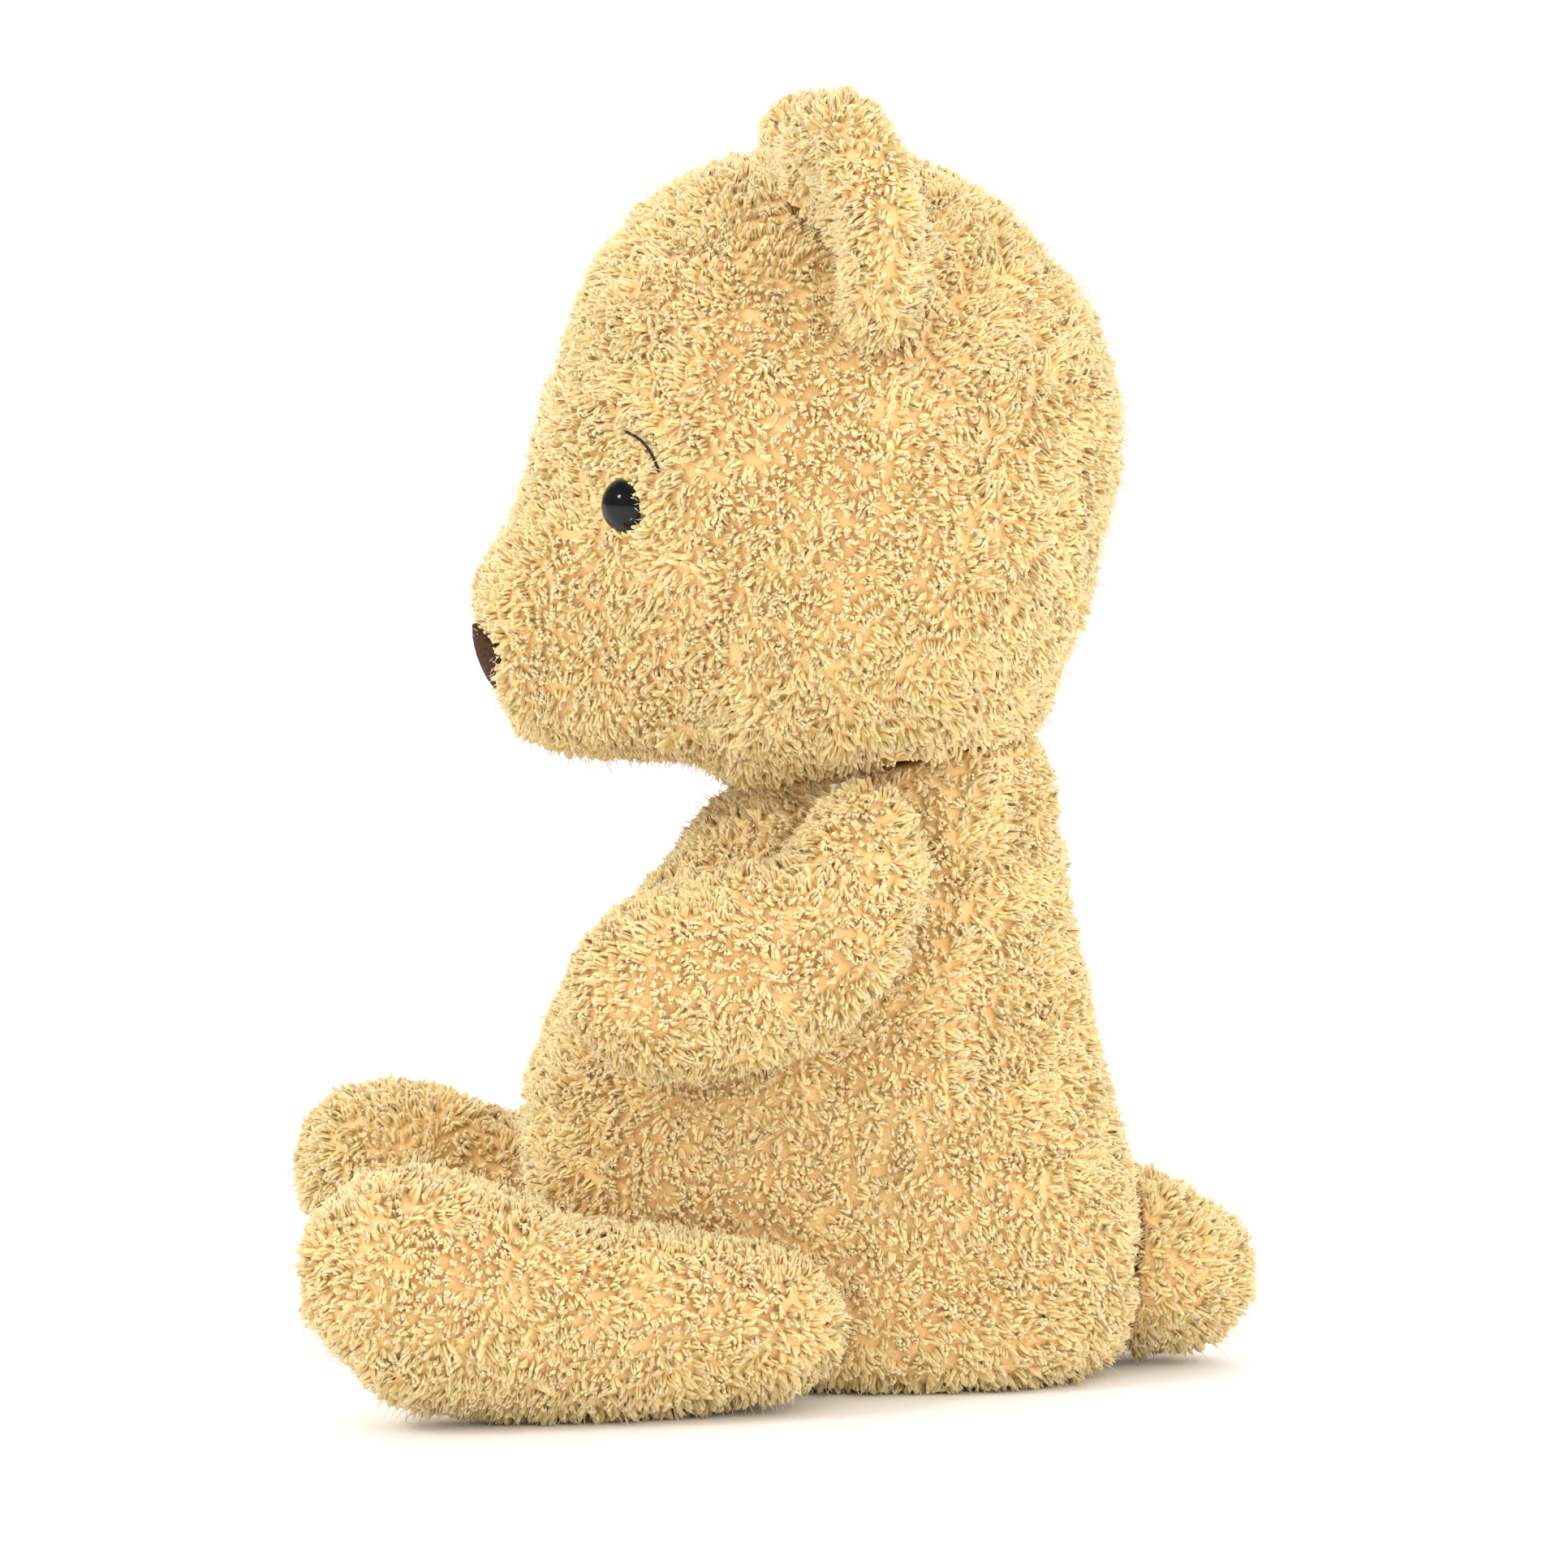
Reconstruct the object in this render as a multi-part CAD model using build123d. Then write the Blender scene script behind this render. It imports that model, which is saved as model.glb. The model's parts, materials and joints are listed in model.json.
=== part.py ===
from build123d import *
import math
import os

# Jointed teddy bear, seated. The bear faces -Y, +Z is up and +X is the bear's
# left. The origin is the middle of the flat seat under the torso. Millimetres.
#
# Every limb and the head is a closed plush cover round its own filling, with a
# disc-and-stem doll joint inside. Each stem passes through the cover's flat
# inner face and through the torso cover, and is held inside the torso by a
# loose washer and a lock ring. The ears and the tail are sewn on. The eyes are
# safety eyes with a ribbed stem and a back washer. A cloth bag of plastic
# beans weights the seat.

# --------------------------------------------------------- shared dimensions
WALL = 2.8            # backing cloth plus pressed pile
GAP = 0.5             # between a limb's flat face and the torso's flat face
FILL_GAP = 0.25       # between filling and cover
FILL_INSET = WALL + FILL_GAP
PAD_GROWTH = 1.0009   # scale of the bodies that trim sewn pieces, so they stop just clear

NECK_TILT = math.radians(7.7)        # the neck plane leans forward
NECK_Z = 118.7                       # neck plane height on the centre line
NECK_FACE_R = 28.8                   # half width of the torso's flat neck face
TORSO_TOP = NECK_Z - GAP

SHOULDER_TILT = math.radians(14.0)   # the torso's side leans in at the shoulder
SHOULDER_FLAT = 55.2                 # distance of the shoulder flat along its normal
SHOULDER_Y, SHOULDER_Z = -8.5, 100.7
SHOULDER_NORMAL = (math.cos(SHOULDER_TILT), 0.0, math.sin(SHOULDER_TILT))
SHOULDER_NORMAL_RIGHT = (-math.cos(SHOULDER_TILT), 0.0, math.sin(SHOULDER_TILT))

HIP_FLAT = 40.5                      # the torso's hip flats are at x = +-HIP_FLAT
HIP_Y, HIP_Z = -27.5, 16.8

LEFTWARD, RIGHTWARD, UPWARD = (1, 0, 0), (-1, 0, 0), (0, 0, 1)

os.makedirs("parts", exist_ok=True)


# ------------------------------------------------------------- interpolation
def interp(table, x):
    """Piecewise-linear value from a list of (x, value) sorted by x."""
    if x <= table[0][0]:
        return table[0][1]
    for (x0, y0), (x1, y1) in zip(table, table[1:]):
        if x <= x1:
            return y0 + (y1 - y0) * (x - x0) / (x1 - x0)
    return table[-1][1]


def smooth_interp(table, x):
    """Monotone cubic value from a list of (x, value) sorted by x."""
    if x <= table[0][0]:
        return table[0][1]
    if x >= table[-1][0]:
        return table[-1][1]
    xs = [row[0] for row in table]
    ys = [row[1] for row in table]
    last = len(table) - 1
    chords = [(ys[i + 1] - ys[i]) / (xs[i + 1] - xs[i]) for i in range(last)]
    # harmonic mean of the neighbouring chords, and level at a turning point
    slopes = [chords[0]] + [
        0.0 if before * after <= 0 else 2 * before * after / (before + after)
        for before, after in zip(chords, chords[1:])
    ] + [chords[-1]]
    i = next(i for i in range(last) if x <= xs[i + 1])
    step = xs[i + 1] - xs[i]
    t = (x - xs[i]) / step
    return (
        ys[i] * (1 + 2 * t) * (1 - t) ** 2
        + step * slopes[i] * t * (1 - t) ** 2
        + ys[i + 1] * t * t * (3 - 2 * t)
        + step * slopes[i + 1] * t * t * (t - 1)
    )


# ------------------------------------------------------------- solid helpers
def closed_wire(points):
    return Wire([Edge.make_spline([Vector(*p) for p in points], periodic=True)])


def skin(sections):
    """A solid through closed section outlines, with a flat face at each end."""
    solid = Solid.make_loft([closed_wire(section) for section in sections])
    if solid.volume < 0:
        solid = Solid(solid.wrapped.Reversed())
    return solid


def mirrored(shape):
    return shape.mirror(Plane.YZ)


def half_space(point, normal, size=400.0):
    """A large block with one face on the given plane, on the side normal points to."""
    plane = Plane(origin=Vector(*point), z_dir=Vector(*normal))
    return Solid.make_box(size, size, size, Plane(
        origin=plane.origin - plane.x_dir * size / 2 - plane.y_dir * size / 2,
        x_dir=plane.x_dir, z_dir=plane.z_dir))


def cylinder(point, normal, radius, start, end):
    """Cylinder round the axis point + normal * t, from t=start to t=end."""
    axis = Vector(*normal).normalized()
    base = Vector(*point) + axis * start
    return Solid.make_cylinder(radius, end - start, Plane(origin=base, z_dir=axis))


def tube(point, normal, outer_r, inner_r, start, end):
    return (cylinder(point, normal, outer_r, start, end)
            - cylinder(point, normal, inner_r, start - 0.1, end + 0.1))


def revolved(profile, plane):
    """A spline profile of (radius, height), level at both ends, turned about plane's normal."""
    points = [Vector(x, 0, z) for x, z in profile]
    curve = Edge.make_spline(points, tangents=[Vector(1, 0, 0), Vector(-1, 0, 0)])
    axis_line = Edge.make_line(points[-1], points[0])
    return Solid.revolve(Face(Wire([curve, axis_line])), 360, Axis.Z).moved(plane.location)


def largest(shape):
    return max(shape.solids(), key=lambda solid: solid.volume)


def cut(shape, *tools):
    for tool in tools:
        shape = shape - tool
    return largest(shape)


def keep(shape, *tools):
    for tool in tools:
        shape = shape & tool
    return largest(shape)


def grown(shape, centre, factor):
    return shape.translate(-centre).scale(factor).translate(centre)


def surface_point(solid, origin, direction):
    """The first point where a ray from outside, running against direction, meets the solid."""
    outward = Vector(*direction).normalized()
    far = Vector(*origin) + outward * 300
    hits = solid.find_intersection_points(Axis(far, outward * -1))
    return min((hit[0] for hit in hits), key=lambda point: (point - far).length)


def write(shape, name):
    solid = largest(shape)
    solid.label = name
    export_step(solid, os.path.join("parts", name + ".step"))


def write_pair(left, name, to_right=mirrored):
    write(left, name + "_left")
    write(to_right(left), name + "_right")


# --------------------------------------------------- neck and shoulder frames
NECK_AXIS = (0.0, -math.sin(NECK_TILT), math.cos(NECK_TILT))


def neck_point(x, v, h):
    """v runs rearward in the neck plane and h runs up from it, along the neck axis."""
    return (
        x,
        v * math.cos(NECK_TILT) - h * math.sin(NECK_TILT),
        NECK_Z + v * math.sin(NECK_TILT) + h * math.cos(NECK_TILT),
    )


def shoulder_point(distance, side=1):
    """The point at shoulder height whose distance along the shoulder normal is given."""
    x = (distance - SHOULDER_Z * SHOULDER_NORMAL[2]) / SHOULDER_NORMAL[0]
    return (side * x, SHOULDER_Y, SHOULDER_Z)


# -------------------------------------------------------------------- joints
DISC_T = 1.6
WASHER_T = 1.4
RING_T = 2.2
RING_FLANGE = 0.45    # share of the ring's thickness that has the full radius
RING_NECK = 0.62      # radius of the rest, as a share of the full radius
BEARING_GAP = 0.05    # between a disc or washer and the cloth
HOLE_CLEAR = 0.3      # stem through cloth
WASHER_CLEAR = 0.08   # stem through its running washer
RING_CLEAR = 0.02     # stem through its lock ring
STEM_TAIL = 3.4       # stem beyond the lock ring
SPACE_CLEAR = 0.3     # filling round a joint, radially


def make_joint(point, normal, stem_r, disc_r, washer_r, ring_r):
    """Disc with ribbed stem, washer, lock ring and the room they need.

    point is the middle of the gap between the two flats, and normal points into
    the limb or head."""
    def rod(radius, start, end):
        return cylinder(point, normal, radius, start, end)

    limb_face = GAP / 2 + WALL + BEARING_GAP
    disc_end = limb_face + DISC_T
    torso_face = -limb_face
    washer_end = torso_face - WASHER_T
    stem_end = washer_end - RING_T - STEM_TAIL

    disc = (rod(disc_r, limb_face, disc_end)
            + rod(stem_r + 1.6, disc_end, disc_end + 1.2)
            + rod(stem_r, stem_end, limb_face + 0.4))
    for i in range(3):                       # snap grooves near the end of the stem
        top = washer_end - RING_T - 0.9 - i * 1.0
        disc = disc - tube(point, normal, stem_r + 1, stem_r - 0.35, top - 0.4, top)

    washer = tube(point, normal, washer_r, stem_r + WASHER_CLEAR, washer_end, torso_face)

    ring_top = washer_end - 0.1
    ring_end = ring_top - RING_T
    ring_step = ring_top - RING_T * RING_FLANGE
    ring = rod(ring_r, ring_step, ring_top) + rod(ring_r * RING_NECK, ring_end, ring_step)
    ring = ring - rod(stem_r + RING_CLEAR, ring_end - 1, ring_top + 1)

    return {
        "disc": largest(disc),
        "washer": largest(washer),
        "ring": largest(ring),
        # room in the filling of the limb and of the torso
        "limb_space": rod(disc_r + SPACE_CLEAR, limb_face - 1.5, disc_end + 1.5),
        "torso_space": rod(max(washer_r, ring_r) + SPACE_CLEAR, stem_end - 0.6,
                           torso_face + 1.5),
        "hole": rod(stem_r + HOLE_CLEAR, torso_face - 1, limb_face + 1),
        # the cloth is pressed flat where a disc or washer bears on it
        "limb_flat": rod(disc_r + 0.2, limb_face - 0.04, disc_end + 1.0),
        "torso_flat": rod(washer_r + 0.2, torso_face - 4.0, torso_face + 0.04),
    }


neck_joint = make_joint(neck_point(0.0, 0.0, -GAP / 2), NECK_AXIS,
                        stem_r=3.5, disc_r=21.0, washer_r=17.0, ring_r=9.0)
shoulder_joint = make_joint(shoulder_point(SHOULDER_FLAT + GAP / 2), SHOULDER_NORMAL,
                            stem_r=2.5, disc_r=7.2, washer_r=6.6, ring_r=5.0)
hip_joint = make_joint((HIP_FLAT + GAP / 2, HIP_Y, HIP_Z), LEFTWARD,
                       stem_r=3.0, disc_r=8.0, washer_r=7.8, ring_r=6.0)

write(neck_joint["disc"], "neck_joint_disc")
write(neck_joint["washer"], "neck_washer")
write(neck_joint["ring"], "neck_lock_ring")
for place, joint in (("shoulder", shoulder_joint), ("hip", hip_joint)):
    write_pair(joint["disc"], place + "_joint_disc")
    write_pair(joint["washer"], place + "_washer")
    write_pair(joint["ring"], place + "_lock_ring")

# ------------------------------------------------------------------ bean bag
BAG_LOW = WALL + 0.3
BAG_HALF_X, BAG_HALF_Y = 44.0, 47.0   # size at which a level's scale is 1
BAG_Y = -4.0
BAG_CLOTH = 0.6
BEAN_INSET = 0.7                      # bag's outside to the beans
BAG_CLEAR = 0.25                      # bag to torso filling
# (height, scale)
BAG_LEVELS = [(BAG_LOW, 0.60), (BAG_LOW + 2.0, 0.69), (BAG_LOW + 8.0, 0.73),
              (BAG_LOW + 14.0, 0.67), (BAG_LOW + 17.5, 0.54)]
BAG_POINTS = 20


def bag_skin(inset=0.0):
    """The bag's surface, moved in by inset."""
    rings = []
    for i, (z, scale) in enumerate(BAG_LEVELS):
        if i == 0:
            z += inset
        elif i == len(BAG_LEVELS) - 1:
            z -= inset
        angles = [2 * math.pi * j / BAG_POINTS for j in range(BAG_POINTS)]
        rings.append([((BAG_HALF_X * scale - inset) * math.cos(angle),
                       BAG_Y + (BAG_HALF_Y * scale - inset) * math.sin(angle), z)
                      for angle in angles])
    return skin(rings)


write(cut(bag_skin(), bag_skin(BAG_CLOTH)), "seat_bean_bag")
write(bag_skin(BEAN_INSET), "bean_filling")


# --------------------------------------------------- torso and head outlines
HALF_STEPS = 12       # steps along half of a section outline, front to back


def superellipse(u, power):
    """Half width, 0 to 1, at u from 0 at the front to 1 at the back."""
    return max(0.0, 1 - abs(2 * u - 1) ** power) ** (1 / power)


def half_angles():
    """(angle, u) along half an outline, with u as in superellipse."""
    angles = [math.pi * i / HALF_STEPS for i in range(HALF_STEPS + 1)]
    return [(angle, (1 - math.cos(angle)) / 2) for angle in angles]


def both_sides(half):
    """Closed outline from its left half, which runs from front to back."""
    return half[:-1] + [(-x, v) for x, v in half[:0:-1]]


# --------------------------------------------------------------------- torso
# side outline, (z, y)
TORSO_FRONT = [
    (0, -43), (3, -49), (8.5, -56), (16, -62), (26, -66.5), (33, -68.3),
    (40, -69.6), (46, -70), (54, -68.8), (63, -66), (75.5, -60.5),
    (83.5, -53.5), (92.5, -45.2), (103, -37.5), (111, -31.5), (114.5, -29.6)]
TORSO_BACK = [
    (0, 36), (2.5, 40), (7, 43), (15, 44.8), (24, 45.3), (34, 44.5),
    (43, 42.8), (54, 39.6), (68.3, 37.2), (80.8, 34.1), (95, 31.7),
    (110.5, 30.1), (122.5, 28.7)]
# (z, half width)
TORSO_WIDE = [
    (0, 34), (3, 38), (8, 40.6), (16, 42), (26, 42.6), (38, 42.6), (50, 42.1),
    (62, 41.2), (74, 39.6), (85, 37.6), (95, 35.2), (105, 32.8), (113, 30.5),
    (TORSO_TOP, NECK_FACE_R)]
# (z, superellipse exponent)
TORSO_POWER = [(0, 3.1), (30, 3.1), (50, 2.6), (70, 2.25), (118, 2.05)]
# section heights on the centre line
TORSO_STATIONS = [0, 2.5, 7, 14, 24, 36, 48, 60, 71, 81, 91, 101, 110, TORSO_TOP]
LEAN_START_Z = 62.0   # sections are level below this and lean with the neck at the top
TORSO_MID = Vector(0.0, -10.0, 50.0)


def torso_section(z, inset):
    rise = min(1.0, max(0.0, (z - LEAN_START_Z) / (TORSO_TOP - LEAN_START_Z)))
    lean = NECK_TILT * rise * rise * (3 - 2 * rise)
    # find where the leaning section meets the side outline
    front, back = -40.0, 35.0
    for _ in range(8):
        front = smooth_interp(TORSO_FRONT, z + front * math.tan(lean))
        back = smooth_interp(TORSO_BACK, z + back * math.tan(lean))
    front = front / math.cos(lean) + inset
    back = back / math.cos(lean) - inset
    wide = smooth_interp(TORSO_WIDE, z) - inset
    power = interp(TORSO_POWER, z)
    half = [(wide * superellipse(u, power), front + (back - front) * u)
            for _, u in half_angles()]
    return [(x, v * math.cos(lean), z + v * math.sin(lean)) for x, v in both_sides(half)]


def torso_skin(inset=0.0):
    """The torso's surface before its flats, moved in by inset."""
    heights = [inset + z / TORSO_TOP * (TORSO_TOP - 2 * inset) for z in TORSO_STATIONS]
    return skin([torso_section(z, inset) for z in heights])


def outside_flats(inset=0.0):
    """What lies beyond the shoulder and hip flats, with the flats moved in by inset."""
    shoulder, hip = SHOULDER_FLAT - inset, HIP_FLAT - inset
    return [
        half_space(shoulder_point(shoulder), SHOULDER_NORMAL),
        half_space(shoulder_point(shoulder, -1), SHOULDER_NORMAL_RIGHT),
        half_space((hip, 0, 0), LEFTWARD),
        half_space((-hip, 0, 0), RIGHTWARD),
    ]


def joint_tools(key):
    """One tool of every joint: neck, left and right shoulder, left and right hip."""
    tools = [neck_joint[key]]
    for joint in (shoulder_joint, hip_joint):
        tools += [joint[key], mirrored(joint[key])]
    return tools


torso_outer = torso_skin()
torso_body = cut(torso_outer, *outside_flats())
torso_cavity = cut(torso_skin(WALL), *outside_flats(WALL))
write(cut(torso_body, torso_cavity, *joint_tools("torso_flat"), *joint_tools("hole")),
      "torso_cover")
write(cut(torso_skin(FILL_INSET), *outside_flats(FILL_INSET), *joint_tools("torso_space"),
          bag_skin(-BAG_CLEAR)),
      "torso_filling")

# ---------------------------------------------------------------------- tail
TAIL_R, TAIL_LEN = 17.4, 18.2         # TAIL_LEN is half the length
TAIL_FLOOR = 0.6                      # the cover is flat underneath at this height
TAIL_PLANE = Plane(origin=Vector(0.0, 52.0, 19.4),
                   z_dir=Vector(0.0, 0.985, -0.10).normalized())


def tail_bud(inset=0.0):
    r, length = TAIL_R - inset, TAIL_LEN - inset
    return revolved([
        (0, length), (r * 0.5, length * 0.9), (r * 0.86, length * 0.55), (r, 0.0),
        (r * 0.9, -length * 0.5), (r * 0.55, -length * 0.88), (0, -length)], TAIL_PLANE)


write(cut(keep(tail_bud(), half_space((0, 0, TAIL_FLOOR), UPWARD)), tail_bud(WALL),
          grown(torso_outer, TORSO_MID, PAD_GROWTH)),
      "tail_cover")
write(cut(tail_bud(FILL_INSET), grown(torso_outer, TORSO_MID, 1.004)), "tail_filling")

# ---------------------------------------------------------------- head shape
# (h above the neck plane, front v, back v, half width, muzzle share)
HEAD_LEVELS = [
    (0.0, -36.0, 28.0, 31.0, 0.0),
    (3.0, -55.5, 28.6, 37.5, 0.15),
    (8.0, -66.0, 30.4, 44.0, 0.45),
    (16.0, -73.0, 34.4, 50.5, 0.85),
    (26.0, -76.4, 39.2, 55.2, 1.0),
    (36.0, -76.4, 43.2, 57.0, 0.95),
    (46.0, -72.4, 46.2, 57.2, 0.62),
    (56.0, -65.4, 48.0, 56.2, 0.3),
    (66.0, -60.6, 48.4, 54.4, 0.1),
    (78.0, -56.0, 46.4, 50.0, 0.0),
    (90.0, -49.4, 40.2, 43.6, 0.0),
    (100.0, -42.0, 31.4, 35.6, 0.0),
    (108.0, -33.2, 20.4, 25.4, 0.0),
    (113.0, -23.4, 9.5, 14.0, 0.0),
]
HEAD_HEIGHT = 115.2
HEAD_CAP_V, HEAD_CAP_R = -6.0, 3.4    # small round cap that closes the top
HEAD_POWER = 2.05                     # superellipse exponent away from the muzzle
# (angle from front to back, share of the half width) where the muzzle share is 1
MUZZLE_SHAPE = [
    (0.0, 0.0), (0.2615, 0.18), (0.563, 0.32), (0.823, 0.41), (1.042, 0.536),
    (1.224, 0.71), (1.438, 0.885), (1.711, 0.99), (1.9, 1.0), (2.1, 0.975),
    (2.325, 0.893), (2.668, 0.643), (2.941, 0.32), (math.pi, 0.0)]


def head_outline(h, front, back, wide, share):
    half = []
    for angle, u in half_angles():
        plain = superellipse(u, HEAD_POWER)
        muzzle = smooth_interp(MUZZLE_SHAPE, angle)
        half.append((wide * ((1 - share) * plain + share * muzzle),
                     front + (back - front) * u))
    return [neck_point(x, v, h) for x, v in both_sides(half)]


def head_skin(inset=0.0):
    """The head's surface, moved in by inset."""
    rings = []
    for h, front, back, wide, share in HEAD_LEVELS:
        h = inset + h / HEAD_HEIGHT * (HEAD_HEIGHT - 2 * inset)
        rings.append(head_outline(h, front + inset, back - inset, wide - inset, share))
    rings.append(head_outline(HEAD_HEIGHT - inset, HEAD_CAP_V - HEAD_CAP_R,
                              HEAD_CAP_V + HEAD_CAP_R, HEAD_CAP_R, 0.0))
    return skin(rings)


HEAD_MID = Vector(*neck_point(0.0, -10.0, 55.0))
head_outer = head_skin()
head_pad = grown(head_outer, HEAD_MID, PAD_GROWTH)

# ---------------------------------------------------------------------- eyes
EYE_R, EYE_H = 5.1, 4.0
EYE_RIM = 0.7                # straight part of the dome's height
EYE_STEM_R = 1.7
EYE_WASHER_R, EYE_WASHER_T = 6.0, 1.3
EYE_SINK = 1.5               # the dome's flat back lies this deep in the cover
EYE_SEAT = WALL - EYE_SINK + 0.6     # depth of the washer's front behind the dome
EYE_AIM = (36.5, -54.2, 167.0)
EYE_DIR = Vector(0.58, -0.81, -0.08).normalized()
EYE_BASE = surface_point(head_outer, EYE_AIM, EYE_DIR) - EYE_DIR * EYE_SINK


def eye_rod(radius, start, end):
    return cylinder(EYE_BASE, EYE_DIR, radius, start, end)


def eye_dome():
    """A spherical cap with a short straight rim."""
    cap_h = EYE_H - EYE_RIM
    ball_r = (EYE_R ** 2 + cap_h ** 2) / (2 * cap_h)
    half_angle = math.asin(EYE_R / ball_r) / 2
    arc_mid = (ball_r * math.sin(half_angle), 0,
               EYE_H - ball_r + ball_r * math.cos(half_angle))
    centre, edge, shoulder, top = (0, 0, 0), (EYE_R, 0, 0), (EYE_R, 0, EYE_RIM), (0, 0, EYE_H)
    profile = Wire([
        Edge.make_line(centre, edge),
        Edge.make_line(edge, shoulder),
        Edge.make_three_point_arc(shoulder, arc_mid, top),
        Edge.make_line(top, centre),
    ])
    location = Plane(origin=EYE_BASE, z_dir=EYE_DIR).location
    return Solid.revolve(Face(profile), 360, Axis.Z).moved(location)


def make_eye():
    eye = eye_dome() + eye_rod(EYE_STEM_R, -9.5, 0.5)
    for i in range(3):                       # snap grooves
        top = -5.2 - 1.2 * i
        eye = eye - tube(EYE_BASE, EYE_DIR, EYE_STEM_R + 1, EYE_STEM_R - 0.3, top - 0.5, top)
    return eye


write_pair(largest(make_eye()), "eye")
write_pair(largest(tube(EYE_BASE, EYE_DIR, EYE_WASHER_R, EYE_STEM_R + 0.05,
                        -EYE_SEAT - EYE_WASHER_T, -EYE_SEAT)), "eye_washer")

eye_pocket = eye_rod(EYE_R + 0.15, 0, 8)
eye_hole = eye_rod(EYE_STEM_R + 0.3, -8, 1)
# room behind the cover for the washer and stem
eye_room = eye_rod(EYE_WASHER_R + 0.3, -10.2, -EYE_SEAT)
# the cover is pulled flat against the washer, so the cavity stops short of it there
eye_web = eye_rod(EYE_WASHER_R + 1.5, -EYE_SEAT + 0.05, -0.3)
eye_web_space = eye_rod(EYE_WASHER_R + 1.8, -EYE_SEAT - 0.25, 2.0)

# ---------------------------------------------------- head cover and filling
head_cavity = keep(head_skin(WALL), half_space(neck_point(0, 0, WALL), NECK_AXIS))
head_cavity = cut(head_cavity, eye_web, mirrored(eye_web))
head_cavity = largest(head_cavity + eye_room + mirrored(eye_room))
write(cut(head_outer, head_cavity, neck_joint["limb_flat"], neck_joint["hole"],
          eye_pocket, eye_hole, mirrored(eye_pocket), mirrored(eye_hole)),
      "head_cover")

# the filling stands a little higher off the neck face, where the cover turns in sharply
HEAD_FILL_LIFT = 1.1
head_filling = keep(head_skin(FILL_INSET),
                    half_space(neck_point(0, 0, FILL_INSET + HEAD_FILL_LIFT), NECK_AXIS))
write(cut(head_filling, neck_joint["limb_space"], eye_room, mirrored(eye_room),
          eye_web_space, mirrored(eye_web_space)),
      "head_filling")

# ---------------------------------------------------------------------- nose
# padded patch, a rounded wedge wider than tall, moulded to the muzzle
NOSE_Z, NOSE_HALF_W, NOSE_HALF_H = 136.8, 12.0, 6.3
NOSE_FRONT_Y, NOSE_DEPTH = -95.0, 40.0    # prism that the patch is taken from
NOSE_GROWTH = 1.026                       # head scale that sets the padded surface
# left half from top to bottom, as shares of NOSE_HALF_W and NOSE_HALF_H
NOSE_HALF = [(0, 1), (0.62, 0.88), (1, 0.28), (0.78, -0.42), (0.36, -0.9), (0, -1)]
nose_outline = NOSE_HALF + [(-x, z) for x, z in NOSE_HALF[-2:0:-1]]
nose_wire = closed_wire([(x * NOSE_HALF_W, NOSE_FRONT_Y, NOSE_Z + z * NOSE_HALF_H)
                         for x, z in nose_outline])
nose_prism = Solid.extrude(Face(nose_wire), Vector(0, NOSE_DEPTH, 0))
write((nose_prism & grown(head_outer, HEAD_MID, NOSE_GROWTH)) - head_pad, "nose_patch")

# --------------------------------------------------------------------- brows
# one thread arc above and outside each eye, as (y, z)
BROW = [(-51.8, 180.9), (-49.6, 180.0), (-47.7, 177.4), (-46.7, 173.2)]
BROW_THREAD_R = 0.55
BROW_LIFT = 0.75             # thread centre off the head
BROW_OUT = Vector(0.72, -0.68, 0.14).normalized()
brow_points = [surface_point(head_outer, (0.0, y, z), LEFTWARD) + BROW_OUT * BROW_LIFT
               for y, z in BROW]
brow_path = Edge.make_spline(brow_points)
brow_ring = Wire([Edge.make_circle(
    BROW_THREAD_R, Plane(origin=brow_points[0], z_dir=brow_path.tangent_at(0)))])
write_pair(cut(Solid.sweep(Face(brow_ring), Wire([brow_path])), head_pad), "brow_stitch")

# ---------------------------------------------------------------------- ears
EAR_CENTRE = Vector(43.0, -12.0, 218.6)
EAR_R = 25.0
EAR_FRONT = 8.4              # thickness ahead of the rim
EAR_BACK = EAR_FRONT + 0.6   # thickness behind the rim
EAR_CUP_R = 30.0             # sphere that hollows the open side
EAR_CUP_OFFSET = 2.4         # from the rim plane to the bottom of the hollow
EAR_CUP_SHIFT = Vector(1.5, 0, -1.0)
# the open side faces forward, a little out and a little down
EAR_DIR = Vector(0.24, -0.96, -0.14).normalized()
# (radius, height)
EAR_PROFILE = [
    (0, EAR_FRONT * 0.86), (EAR_R * 0.45, EAR_FRONT * 0.92), (EAR_R * 0.8, EAR_FRONT * 0.78),
    (EAR_R * 0.965, EAR_FRONT * 0.38), (EAR_R, 0.0), (EAR_R * 0.965, -EAR_BACK * 0.42),
    (EAR_R * 0.8, -EAR_BACK * 0.8), (EAR_R * 0.45, -EAR_BACK * 0.98), (0, -EAR_BACK)]
ear_blob = revolved(EAR_PROFILE, Plane(origin=EAR_CENTRE, z_dir=EAR_DIR))
ear_cup = Solid.make_sphere(EAR_CUP_R, Plane(
    origin=EAR_CENTRE + EAR_DIR * (EAR_CUP_R + EAR_CUP_OFFSET) + EAR_CUP_SHIFT))
write_pair(cut(ear_blob, ear_cup, head_pad), "ear")

# --------------------------------------------------------------- limb shapes
CAP_R = 2.2           # the small round cap that closes each end of a limb
LIMB_POINTS = 16      # points round a limb section
TANGENT_REACH = 1.5   # the tangent is taken over this length each way


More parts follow.
